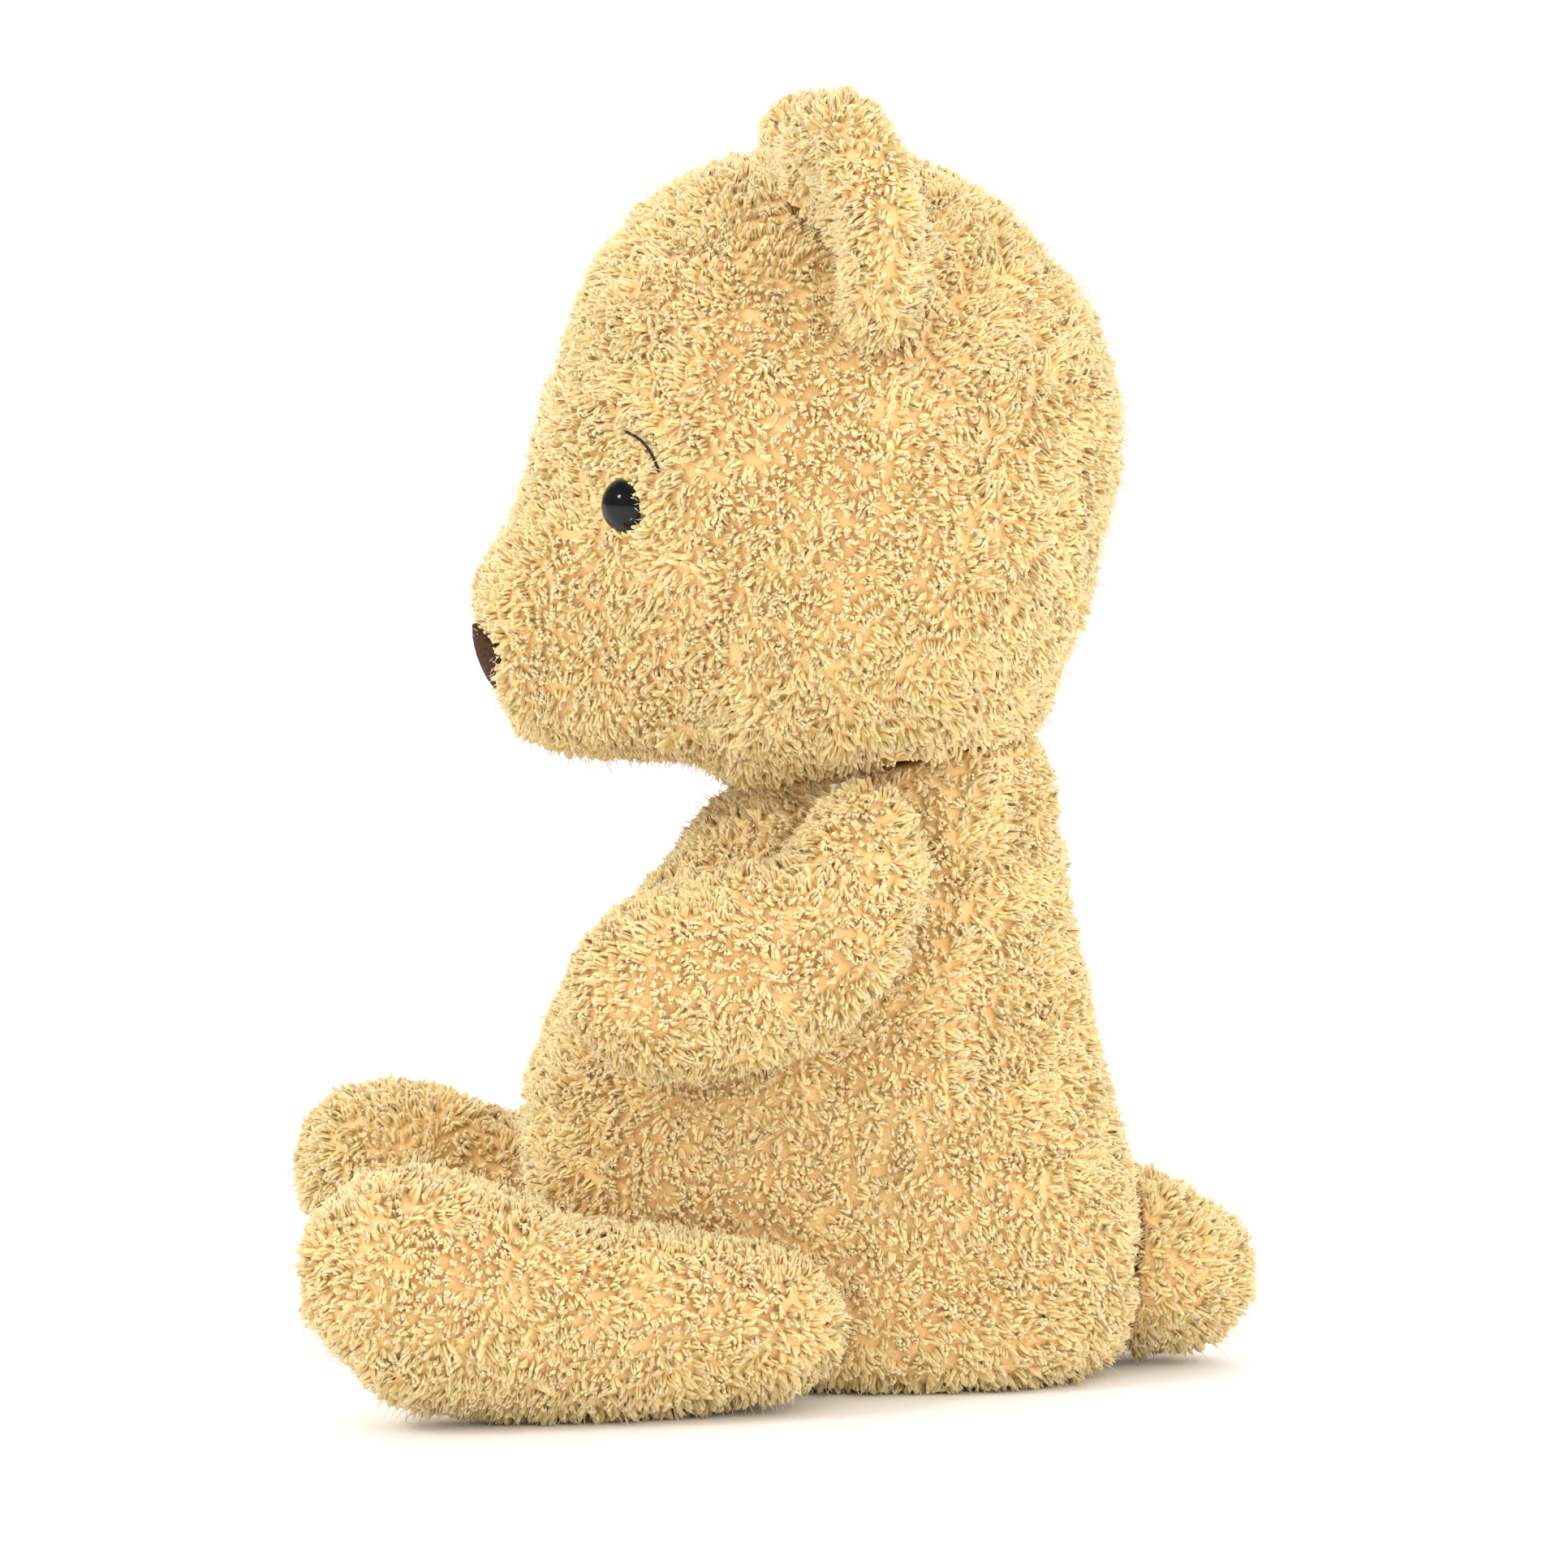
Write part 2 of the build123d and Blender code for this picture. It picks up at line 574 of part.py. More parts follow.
def limb(rows, to_world, inset=0.0):
    """A limb skinned along its centre line, moved in by inset.

    rows are (y, z, radius in the limb's plane, centre offset, radius across the
    plane); to_world maps (y, z, offset) to a point."""
    lengths = [0.0]   # along the centre line, so that an inset shortens both ends
    for a, b in zip(rows, rows[1:]):
        lengths.append(lengths[-1] + math.hypot(b[0] - a[0], b[1] - a[1]))
    total = lengths[-1]
    max_plane_r = max(row[2] for row in rows)
    max_cross_r = max(row[4] for row in rows)

    def column_at(column, s):
        return smooth_interp([(at, row[column]) for at, row in zip(lengths, rows)], s)

    def tangent(s):
        before, after = max(0.0, s - TANGENT_REACH), min(total, s + TANGENT_REACH)
        dy = column_at(0, after) - column_at(0, before)
        dz = column_at(1, after) - column_at(1, before)
        size = math.hypot(dy, dz)
        return dy / size, dz / size

    sections = []
    for at, row in zip(lengths, rows):
        s = inset + at / total * (total - 2 * inset)
        y, z, offset = column_at(0, s), column_at(1, s), column_at(3, s)
        ty, tz = tangent(at)
        plane_r = row[2] - inset * (row[2] / max_plane_r)
        cross_r = row[4] - inset * (row[4] / max_cross_r)
        ring = []
        for i in range(LIMB_POINTS):
            # the outline starts on the side that bears on the torso
            angle = 2 * math.pi * i / LIMB_POINTS - math.pi / 2
            across = plane_r * math.cos(angle)
            ring.append(to_world(y - tz * across, z + ty * across,
                                 offset + cross_r * math.sin(angle)))
        sections.append(ring)
    return skin(sections)


# ---------------------------------------------------------------------- arms
ARM_PLANE = SHOULDER_FLAT + GAP
ARM_INSET = WALL - 0.4       # cover thickness away from the flat face
RIGHT_ARM_DROP = 13.0        # degrees the right arm is swung down from the left one's pose
# (y, z, radius in the plane, centre offset out, radius across)
ARM = [
    (-8.6, 114.0, CAP_R, 7.0, CAP_R),
    (-8.6, 112.9, 5.0, 7.0, 5.6),
    (-8.6, 110.4, 8.4, 7.0, 8.6),
    (-8.8, 105.9, 11.2, 7.2, 11.0),
    (-9.6, 99.8, 12.7, 7.8, 12.4),
    (-12.3, 92.3, 14.6, 9.0, 13.2),
    (-18.0, 85.3, 16.6, 10.4, 13.5),
    (-27.0, 80.8, 17.9, 11.6, 13.5),
    (-37.0, 77.9, 18.2, 12.6, 13.4),
    (-47.0, 76.4, 16.9, 13.0, 12.8),
    (-55.2, 75.8, 13.8, 13.0, 10.8),
    (-60.6, 75.8, 9.2, 12.8, 7.8),
    (-63.4, 75.8, 4.6, 12.7, 4.4),
    (-64.4, 75.8, CAP_R, 12.7, CAP_R),
]


def arm_world(y, z, out):
    """z is the height seen from the side; out is measured from the arm's flat face."""
    origin = shoulder_point(ARM_PLANE)
    up = (z - SHOULDER_Z) / math.cos(SHOULDER_TILT)
    return (
        origin[0] - math.sin(SHOULDER_TILT) * up + SHOULDER_NORMAL[0] * out,
        y,
        origin[2] + math.cos(SHOULDER_TILT) * up + SHOULDER_NORMAL[2] * out,
    )


def arm_body(inset, face_inset):
    return keep(limb(ARM, arm_world, inset),
                half_space(shoulder_point(ARM_PLANE + face_inset), SHOULDER_NORMAL))


def to_right_arm(shape):
    """Mirrored, then swung down about the right shoulder's axis."""
    axis = Axis(Vector(*shoulder_point(SHOULDER_FLAT + GAP / 2, -1)),
                Vector(math.cos(SHOULDER_TILT), 0.0, -math.sin(SHOULDER_TILT)))
    return mirrored(shape).rotate(axis, RIGHT_ARM_DROP)


arm_cover = cut(arm_body(0.0, 0.0), arm_body(ARM_INSET, WALL),
                shoulder_joint["limb_flat"], shoulder_joint["hole"])
arm_filling = cut(arm_body(ARM_INSET + FILL_GAP, FILL_INSET), shoulder_joint["limb_space"])
write_pair(arm_cover, "arm_cover", to_right_arm)
write_pair(arm_filling, "arm_filling", to_right_arm)

# ---------------------------------------------------------------------- legs
LEG_PLANE = HIP_FLAT + GAP
LEG_INSET = WALL - 0.3       # cover thickness away from the flats
LEG_FLOOR_INSET = WALL - 1.0   # cover thickness on the ground
# (y, z, radius in the plane, centre x, radius along x)
LEG = [
    (-13.2, 16.0, CAP_R, 51.0, CAP_R),
    (-14.4, 16.0, 5.0, 51.0, 5.6),
    (-17.6, 16.1, 9.4, 51.0, 10.4),
    (-22.5, 16.3, 12.9, 51.0, 14.0),
    (-30.0, 16.8, 15.2, 51.6, 16.2),
    (-42.0, 17.5, 16.6, 54.0, 16.8),
    (-55.0, 18.2, 17.7, 56.8, 16.8),
    (-67.0, 19.4, 18.8, 59.4, 16.8),
    (-79.0, 22.4, 20.6, 61.8, 17.6),
    (-89.0, 25.2, 21.9, 63.4, 18.6),
    (-98.0, 27.5, 20.8, 64.6, 18.4),
    (-105.2, 28.6, 16.6, 65.2, 15.4),
    (-110.2, 28.8, 11.2, 65.5, 10.8),
    (-112.8, 28.8, 5.9, 65.5, 5.8),
    (-113.7, 28.8, CAP_R, 65.5, CAP_R),
]


def leg_world(y, z, x):
    return (x, y, z)


def leg_body(inset, face_inset, floor_inset):
    return keep(limb(LEG, leg_world, inset),
                half_space((LEG_PLANE + face_inset, 0, 0), LEFTWARD),
                half_space((0, 0, floor_inset), UPWARD))


leg_cover = cut(leg_body(0.0, 0.0, 0.0), leg_body(LEG_INSET, WALL, LEG_FLOOR_INSET),
                hip_joint["limb_flat"], hip_joint["hole"])
leg_filling = cut(leg_body(LEG_INSET + FILL_GAP, FILL_INSET, LEG_FLOOR_INSET + FILL_GAP),
                  hip_joint["limb_space"])
write_pair(leg_cover, "leg_cover")
write_pair(leg_filling, "leg_filling")
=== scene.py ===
"""A seated, jointed plush bear with curled honey-coloured pile, in a small studio.

Metres, +Z up. The bear sits on the floor z = 0 and faces -Y, and its own left is +X.
Each plush piece is a backing cloth made from its CAD parts, stuffed and sculpted, with locks
of pile and loose fibres grown on it. Glossy eyes, a suede nose and thread brows finish the face.
"""
import json
import math
import bpy
import bmesh
import numpy as np
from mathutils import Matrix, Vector
from mathutils.bvhtree import BVHTree


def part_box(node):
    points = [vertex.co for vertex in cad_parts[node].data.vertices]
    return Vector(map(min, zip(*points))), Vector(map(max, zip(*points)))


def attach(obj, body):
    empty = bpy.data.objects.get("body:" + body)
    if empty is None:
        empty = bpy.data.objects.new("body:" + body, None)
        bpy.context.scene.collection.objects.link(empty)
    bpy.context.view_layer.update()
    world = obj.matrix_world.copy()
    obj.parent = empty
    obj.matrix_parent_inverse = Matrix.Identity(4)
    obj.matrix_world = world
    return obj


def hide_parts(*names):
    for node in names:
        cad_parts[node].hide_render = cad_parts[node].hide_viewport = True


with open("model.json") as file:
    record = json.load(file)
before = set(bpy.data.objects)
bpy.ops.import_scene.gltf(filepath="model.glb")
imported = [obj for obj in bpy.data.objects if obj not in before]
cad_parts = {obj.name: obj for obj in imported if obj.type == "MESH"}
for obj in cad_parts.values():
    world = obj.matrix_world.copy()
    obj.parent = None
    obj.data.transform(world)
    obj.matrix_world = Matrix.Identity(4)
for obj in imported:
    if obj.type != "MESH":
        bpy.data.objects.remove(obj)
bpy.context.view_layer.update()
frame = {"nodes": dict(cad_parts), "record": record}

MM = 0.001
NODES = frame["nodes"]
JOINTS = {joint["name"]: joint for joint in frame["record"]["behaviour"]["joints"]}
SIDES = {"left": 1.0, "right": -1.0}     # the sign of x on each side

# --------------------------------------------------------------- dimensions
HALF_GAP = 0.25 * MM          # from a joint plane to the face of each piece
JOINT_CLEARANCE = 0.15 * MM   # a finished skin stays this much further from the plane
SKIN_FLOOR = 0.5 * MM         # lowest height of a skin
LUMP_DEPTH = 0.35 * MM
SWELL_CAP = 1.1 * MM          # the most that stuffing moves a cover

# Backing cloth: depth under the CAD surface, voxel size, smoothing steps.
SKIN_FIT = {
    "ear": (1.5 * MM, 1.8 * MM, 3),
    "tail": (1.9 * MM, 2.0 * MM, 3),
}
DEFAULT_FIT = (1.6 * MM, 2.6 * MM, 6)

PILE_SPACING = 1.36 * MM      # distance between tufts
PILE_LENGTH = 3.1 * MM
PILE_FLOOR = 0.12 * MM        # lowest height of the pile
STRANDS = 3                   # curled locks in a tuft
LOCK_RADIUS = 0.47 * MM
FIBRE_RADIUS = 0.075 * MM
PANEL_TRIANGLES = 185000      # the most in one panel of pile


# -------------------------------------------------------------- mesh helpers
def new_object(name, mesh):
    ob = bpy.data.objects.new(name, mesh)
    bpy.context.scene.collection.objects.link(ob)
    return ob


def vertex_values(mesh, field):
    values = np.empty(len(mesh.vertices) * 3, dtype=np.float64)
    mesh.vertices.foreach_get(field, values)
    return values.reshape(-1, 3)


def mesh_coords(mesh):
    return vertex_values(mesh, "co")


def mesh_normals(mesh):
    return vertex_values(mesh, "normal")


def mesh_triangles(mesh):
    mesh.calc_loop_triangles()
    tris = np.empty(len(mesh.loop_triangles) * 3, dtype=np.int64)
    mesh.loop_triangles.foreach_get("vertices", tris)
    return tris.reshape(-1, 3)


def set_coords(mesh, points):
    mesh.vertices.foreach_set("co", np.ascontiguousarray(points, dtype=np.float32).ravel())
    mesh.update()


def set_smooth(mesh):
    mesh.polygons.foreach_set("use_smooth", np.full(len(mesh.polygons), True, dtype=bool))


def triangle_mesh(name, points, tris):
    mesh = bpy.data.meshes.new(name)
    mesh.vertices.add(len(points))
    mesh.vertices.foreach_set("co", np.ascontiguousarray(points, dtype=np.float32).ravel())
    mesh.loops.add(len(tris) * 3)
    mesh.loops.foreach_set("vertex_index", np.ascontiguousarray(tris, dtype=np.int32).ravel())
    mesh.polygons.add(len(tris))
    starts = np.arange(0, len(tris) * 3, 3, dtype=np.int32)
    mesh.polygons.foreach_set("loop_start", starts)
    mesh.polygons.foreach_set("loop_total", np.full(len(tris), 3, dtype=np.int32))
    mesh.update(calc_edges=True)
    set_smooth(mesh)
    mesh.update()
    return mesh


def face_mesh(name, points, faces):
    mesh = bpy.data.meshes.new(name)
    mesh.from_pydata([tuple(p) for p in points], [], faces)
    return mesh


def evaluated(ob):
    graph = bpy.context.evaluated_depsgraph_get()
    graph.update()
    return bpy.data.meshes.new_from_object(ob.evaluated_get(graph), depsgraph=graph)


def apply_modifiers(ob):
    mesh = evaluated(ob)
    ob.modifiers.clear()
    old = ob.data
    ob.data = mesh
    bpy.data.meshes.remove(old)


def relax(ob, times, factor=0.5):
    smooth = ob.modifiers.new("Relax", "SMOOTH")
    smooth.factor = factor
    smooth.iterations = times
    apply_modifiers(ob)


def joined_nodes(names):
    all_points, all_tris, count = [], [], 0
    for name in names:
        mesh = NODES[name].data
        points = mesh_coords(mesh)
        all_points.append(points)
        all_tris.append(mesh_triangles(mesh) + count)
        count += len(points)
    return np.vstack(all_points), np.vstack(all_tris)


def biggest_part(mesh):
    """Keeps the connected part of the mesh with the largest box."""
    bm = bmesh.new()
    bm.from_mesh(mesh)
    seen = np.zeros(len(bm.verts), dtype=bool)
    best, best_size = None, -1.0
    for first in bm.verts:
        if seen[first.index]:
            continue
        stack, part = [first], []
        seen[first.index] = True
        while stack:
            vert = stack.pop()
            part.append(vert)
            for edge in vert.link_edges:
                other = edge.other_vert(vert)
                if not seen[other.index]:
                    seen[other.index] = True
                    stack.append(other)
        points = np.array([vert.co for vert in part])
        size = np.linalg.norm(points.max(0) - points.min(0))
        if size > best_size:
            best, best_size = set(part), size
    bmesh.ops.delete(bm, geom=[v for v in bm.verts if v not in best], context="VERTS")
    bm.to_mesh(mesh)
    bm.free()
    mesh.update()


# ------------------------------------------------------------ vector helpers
def mm(points):
    return np.array(points, dtype=float) * MM


def unit(v):
    return v / np.maximum(np.linalg.norm(v, axis=-1, keepdims=True), 1e-12)


def mirrored(points, side):
    """Points or directions given for the left, moved to the named side."""
    return np.array(points) * np.array([SIDES[side], 1, 1])


def off_axis(offsets, axis):
    """Distance of each offset from the line along axis."""
    return np.linalg.norm(offsets - (offsets @ axis)[:, None] * axis, axis=1)


def gauss(distance, width):
    return np.exp(-(distance / width) ** 2)


def below(values, start, reach):
    """0 down to start, then rises to 1 at reach below it."""
    return np.clip((start - values) / reach, 0, 1)


def polyline_distance(points, line):
    best = np.full(len(points), 1e9)
    for a, b in zip(line[:-1], line[1:]):
        ab = b - a
        t = np.clip(((points - a) @ ab) / (ab @ ab), 0, 1)
        best = np.minimum(best, np.linalg.norm(points - (a + t[:, None] * ab), axis=1))
    return best


def waves(points, seed, shortest, longest, count=18, dims=1):
    """A smooth seeded field: a sum of sine waves with wavelengths in the given range."""
    rng = np.random.default_rng(seed)
    direction = unit(rng.normal(size=(count, 3)))
    wave = direction * (2 * math.pi / rng.uniform(shortest, longest, size=(count, 1)))
    phase = rng.uniform(0, 2 * math.pi, size=count)
    strength = rng.normal(size=(count, dims)) / math.sqrt(count / 2)
    return np.sin(points @ wave.T + phase) @ strength


def wave_height(points, seed, shortest, longest, count=18):
    return waves(points, seed, shortest, longest, count)[:, 0]


# -------------------------------------------------------------- joint planes
def joint_plane(name, into_child=1.0):
    """A point on the joint and its axis, turned away from the torso."""
    joint = JOINTS[name]
    return np.array(joint["pos_m"]), unit(np.array(joint["axis"], dtype=float)) * into_child


PLANES = {
    "head": joint_plane("neck_swivel"),
    "arm_left": joint_plane("shoulder_left"),
    "arm_right": joint_plane("shoulder_right", -1.0),
    "leg_left": joint_plane("hip_left"),
    "leg_right": joint_plane("hip_right", -1.0),
}


def piece_of(skin):
    return skin.replace("_skin", "")


def kind_of(skin):
    return skin.split("_")[0]


def joint_faces(skin):
    """(point, normal, sign) of each joint face of a piece; the piece is on the sign side."""
    if skin == "torso_skin":
        return [(p - n * HALF_GAP, n, -1.0) for p, n in PLANES.values()]
    if piece_of(skin) in PLANES:
        point, normal = PLANES[piece_of(skin)]
        return [(point + normal * HALF_GAP, normal, 1.0)]
    return []


def bearing_faces(skin):
    """The joint faces that are flat on the piece itself: on the torso, only the neck."""
    return joint_faces(skin)[:1]


def keep_on_side(points, faces, clearance=0.0):
    """Flattens onto each joint face the points that cross it."""
    for point, normal, sign in faces:
        depth = (points - point) @ normal * sign
        out = depth < clearance
        points[out] -= ((depth[out, None] - clearance) * sign) * normal


# -------------------------------------------------------------------- skins
def skin_pieces():
    """For each skin: the body it rides, the nodes it replaces, and other nodes inside it."""
    joint_parts = []
    for part in ("washer", "lock_ring", "joint_disc"):
        joint_parts.append("neck_" + part)
        joint_parts += [f"{joint}_{part}_{side}" for joint in ("hip", "shoulder")
                        for side in SIDES]
    pieces = {
        "torso_skin": ("torso", ["torso_cover", "torso_filling"],
                       ["seat_bean_bag", "bean_filling"] + joint_parts),
        "head_skin": ("head", ["head_cover", "head_filling"],
                      ["neck_joint_disc", "eye_left", "eye_right",
                       "eye_washer_left", "eye_washer_right"]),
        "ear_left_skin": ("head", ["ear_left"], []),
        "ear_right_skin": ("head", ["ear_right"], []),
        "tail_skin": ("torso", ["tail_cover", "tail_filling"], []),
    }
    for side in SIDES:
        for limb, joint in (("arm", "shoulder"), ("leg", "hip")):
            pieces[f"{limb}_{side}_skin"] = (
                f"{limb}_{side}", [f"{limb}_cover_{side}", f"{limb}_filling_{side}"],
                [f"{joint}_joint_disc_{side}"])
    return pieces


def even_surface(name, nodes, voxel, soft, faces=()):
    """One even closed surface round the named nodes."""
    points, tris = joined_nodes(nodes)
    keep_on_side(points, faces)
    ob = new_object(name, triangle_mesh(name, points, tris))
    remesh = ob.modifiers.new("Even", "REMESH")
    remesh.mode = "VOXEL"
    remesh.voxel_size = voxel
    remesh.adaptivity = 0.0
    apply_modifiers(ob)
    biggest_part(ob.data)
    relax(ob, soft)
    return ob


def make_skin(name, nodes):
    """The backing cloth of one plush piece, a little inside its CAD cover."""
    inset, voxel, soft = SKIN_FIT.get(kind_of(name), DEFAULT_FIT)
    ob = even_surface(name, nodes, voxel, soft, joint_faces(name))
    points, normals = mesh_coords(ob.data), mesh_normals(ob.data)
    depth = np.full(len(points), inset)
    for point, normal, _ in bearing_faces(name):
        # a face that bears on its neighbour at a joint keeps its place
        distance = (points - point) @ normal
        facing = np.clip(np.abs(normals @ normal) * 1.5 - 0.5, 0, 1)
        depth *= 1 - 0.9 * facing * gauss(distance, 2.5 * MM)
    set_coords(ob.data, points - normals * depth[:, None])
    relax(ob, 2, 0.4)
    return ob


PIECES = skin_pieces()
SKINS = {}
for name, (body, replaced, inside) in PIECES.items():
    # a frame may lack a piece
    if all(n in NODES for n in replaced + inside):
        SKINS[name] = make_skin(name, replaced + inside)


# ----------------------------------------------------------------- stuffing
CLOTH = {
    "quality": 5,
    "mass": 0.08,
    "tension_stiffness": 14,
    "compression_stiffness": 14,
    "shear_stiffness": 8,
    "bending_stiffness": 0.6,
    "use_pressure": True,
    "uniform_pressure_force": 3.0,
    "shrink_min": -0.02,           # negative, so the cloth grows a little
    "vertex_group_mass": "held",
}
CLOTH_FRAMES = 12


def swell(ob, held):
    """Stuffs the cover: a short cloth run under inside pressure, with its seams held."""
    start = mesh_coords(ob.data)
    group = ob.vertex_groups.new(name="held")
    for i, weight in enumerate(held):
        if weight > 0.01:
            group.add([i], float(min(1.0, weight)), "REPLACE")
    cloth = ob.modifiers.new("Stuffing", "CLOTH")
    for setting, value in CLOTH.items():
        setattr(cloth.settings, setting, value)
    cloth.settings.effector_weights.gravity = 0.0
    cloth.collision_settings.use_collision = False
    cloth.point_cache.frame_start = 1
    cloth.point_cache.frame_end = CLOTH_FRAMES
    scene = bpy.context.scene
    for f in range(1, CLOTH_FRAMES + 1):
        scene.frame_set(f)
    swollen = evaluated(ob)
    move = mesh_coords(swollen) - start
    bpy.data.meshes.remove(swollen)
    ob.modifiers.clear()
    ob.vertex_groups.clear()
    scene.frame_set(1)
    length = np.linalg.norm(move, axis=1, keepdims=True)
    move *= np.minimum(1.0, SWELL_CAP / np.maximum(length, 1e-9))
    set_coords(ob.data, start + move)


# ------------------------------------------------------ where the face sits
def eye_frame(side):
    """Outer tip, base centre and outward direction of one eye, from its CAD mesh."""
    points = mesh_coords(NODES["eye_" + side].data)
    outward = unit(mirrored((0.58, -0.81, -0.08), side))
    tip = points[np.argmax(points @ outward)]
    rim = points[off_axis(points - tip, outward) > 4.9 * MM]
    base = tip + outward * ((rim @ outward).min() - tip @ outward)
    return tip, base, outward


EYES = {side: eye_frame(side) for side in SIDES}
NOSE_LO, NOSE_HI = (np.array(corner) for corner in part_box("nose_patch"))
NOSE_MID = (NOSE_LO + NOSE_HI) / 2


# ---------------------------------------------------------------- sculpting
# Depths and widths are in mm. A positive depth presses in, a negative one stands out.
# Lines and points are x, y, z on the bear's left, mirrored for its right.
CHEEK = mm([(40, -56, 160), (44, -52, 150), (42, -52, 140), (36, -52, 130), (30, -50, 121)])
TEMPLE_SEAM = mm([(58, 2, 178), (58.5, 0, 165), (57, -2, 152), (52, -3, 138), (42, -3, 126)])
HEAD_GROOVES = [(CHEEK, 2.6, 4.8), (TEMPLE_SEAM, 0.8, 2.6)]     # line, depth, width
BROW_RIDGE = mm((4.0, 3.5, 8.5))                               # from the eye's base

# centre, depth, width
HEAD_SIDE_DENTS = [
    (mm((50.0, -34.0, 146.0)), -1.2, 13.0),    # cheek
    (mm((26.0, -68.0, 143.0)), -1.0, 12.0),    # side of the muzzle
]
HEAD_MIDDLE_DENTS = [
    (mm((0, -73.0, 161.0)), 2.0, 12.0),        # bridge between the eyes
    (mm((0, -80.0, 131.0)), 2.2, 9.0),         # lower muzzle
    (mm((0, 38.0, 197.0)), -3.0, 20.0),        # back of the head
    (mm((0, -60.0, 186.0)), 2.3, 20.0),        # forehead
]
FOOT_DENT = (mm((62.0, -108.0, 8.0)), 2.8, 11.0)     # low at the front end of the leg
TAIL_DENT = (mm((0.0, 64.0, 33.0)), 3.4, 10.0)
TORSO_JOINT_DENTS = [("hip_left", 0.9, 12.0), ("shoulder_left", 0.7, 10.0)]
WIDE = 0.6                                           # stretches a dent across the bear


def dent(points, centre, depth, width, across=1.0):
    """A round dent; across under 1 makes it wider in x."""
    offsets = (points - centre) * np.array([across, 1, 1])
    return depth * MM * gauss(np.linalg.norm(offsets, axis=1), width * MM)


def jaw_lift(points, normals):
    """The underside of the jaw lies higher than the cut of the cover, less so to the front."""
    under = np.clip(-normals[:, 2] * 1.5 - 0.3, 0, 1) * below(points[:, 1], -31 * MM, 6 * MM)
    under *= 1 - 0.62 * below(points[:, 1], -52 * MM, 14 * MM)
    return 5.4 * MM * under * below(points[:, 2], 134 * MM, 8 * MM)


def head_push(points, normals):
    push = np.zeros(len(points))
    for side in SIDES:
        for line, depth, width in HEAD_GROOVES:
            distance = polyline_distance(points, mirrored(line, side))
            push += depth * MM * gauss(distance, width * MM)
        base = EYES[side][1]
        push += dent(points, base, depth=0.9, width=8.0)
        push += dent(points, base + mirrored(BROW_RIDGE, side), depth=-0.9, width=6.0)
        for centre, depth, width in HEAD_SIDE_DENTS:
            push += dent(points, mirrored(centre, side), depth, width)
    for centre, depth, width in HEAD_MIDDLE_DENTS:
        push += dent(points, centre, depth, width, WIDE)
    push += jaw_lift(points, normals)
    # the nose leather is pulled in by its stitches
    push += dent(points, NOSE_MID, depth=1.9, width=7.5, across=0.5)
    return push


def torso_push(points, normals):
    push = np.zeros(len(points))
    # the cover is pulled in at the leg and arm joints
    for side in SIDES:
        for joint, depth, width in TORSO_JOINT_DENTS:
            push += dent(points, mirrored(JOINTS[joint]["pos_m"], side), depth, width)
    # centre seams, front and back
    push += 0.55 * MM * gauss(points[:, 0], 2.4 * MM)
    return push


def leg_push(points, normals):
    centre, depth, width = FOOT_DENT
    push = np.zeros(len(points))
    for side in SIDES:
        push += dent(points, mirrored(centre, side), depth, width)
    return push


def tail_push(points, normals):
    centre, depth, width = TAIL_DENT
    return dent(points, centre, depth, width, WIDE)


SCULPT = {"head": head_push, "torso": torso_push, "leg": leg_push, "tail": tail_push}


def lumps(points, normals, seed):
    """Coarse and fine unevenness of the filling."""
    coarse = wave_height(points, seed, 22 * MM, 48 * MM)
    fine = wave_height(points, seed + 1, 9 * MM, 16 * MM)
    height = coarse * LUMP_DEPTH + fine * LUMP_DEPTH * 0.3
    return points + normals * height[:, None]


def held_weights(name, points):
    """Where stuffing can't move the cover: joint faces, the seat and the head's grooves."""
    held = np.zeros(len(points))

    def hold(start, distance, reach):
        return np.maximum(held, np.clip(start - distance / reach, 0, 1))

    for point, normal, _ in joint_faces(name):
        held = hold(1.6, np.abs((points - point) @ normal), 2.5 * MM)
    if name == "torso_skin":
        held = hold(1.5, np.abs(points[:, 2]), 3 * MM)
    if name == "head_skin":
        for side in SIDES:
            for line in (CHEEK, TEMPLE_SEAM):
                held = hold(1.3, polyline_distance(points, mirrored(line, side)), 3.0 * MM)
    return held


def finish_skin(index, name, ob):
    kind = kind_of(name)
    points, normals = mesh_coords(ob.data), mesh_normals(ob.data)
    if kind not in ("ear", "tail"):
        swell(ob, held_weights(name, points))
        points, normals = mesh_coords(ob.data), mesh_normals(ob.data)
    if kind != "ear":
        points = lumps(points, normals, 100 + index * 7)
    if kind in SCULPT:
        points = points - normals * SCULPT[kind](points, normals)[:, None]
    keep_on_side(points, joint_faces(name), JOINT_CLEARANCE)
    points[:, 2] = np.maximum(points[:, 2], SKIN_FLOOR)
    set_coords(ob.data, points)
    fine = ob.modifiers.new("Fine", "SUBSURF")
    fine.levels = fine.render_levels = 1
    apply_modifiers(ob)
    set_smooth(ob.data)


for index, (name, ob) in enumerate(SKINS.items()):
    finish_skin(index, name, ob)


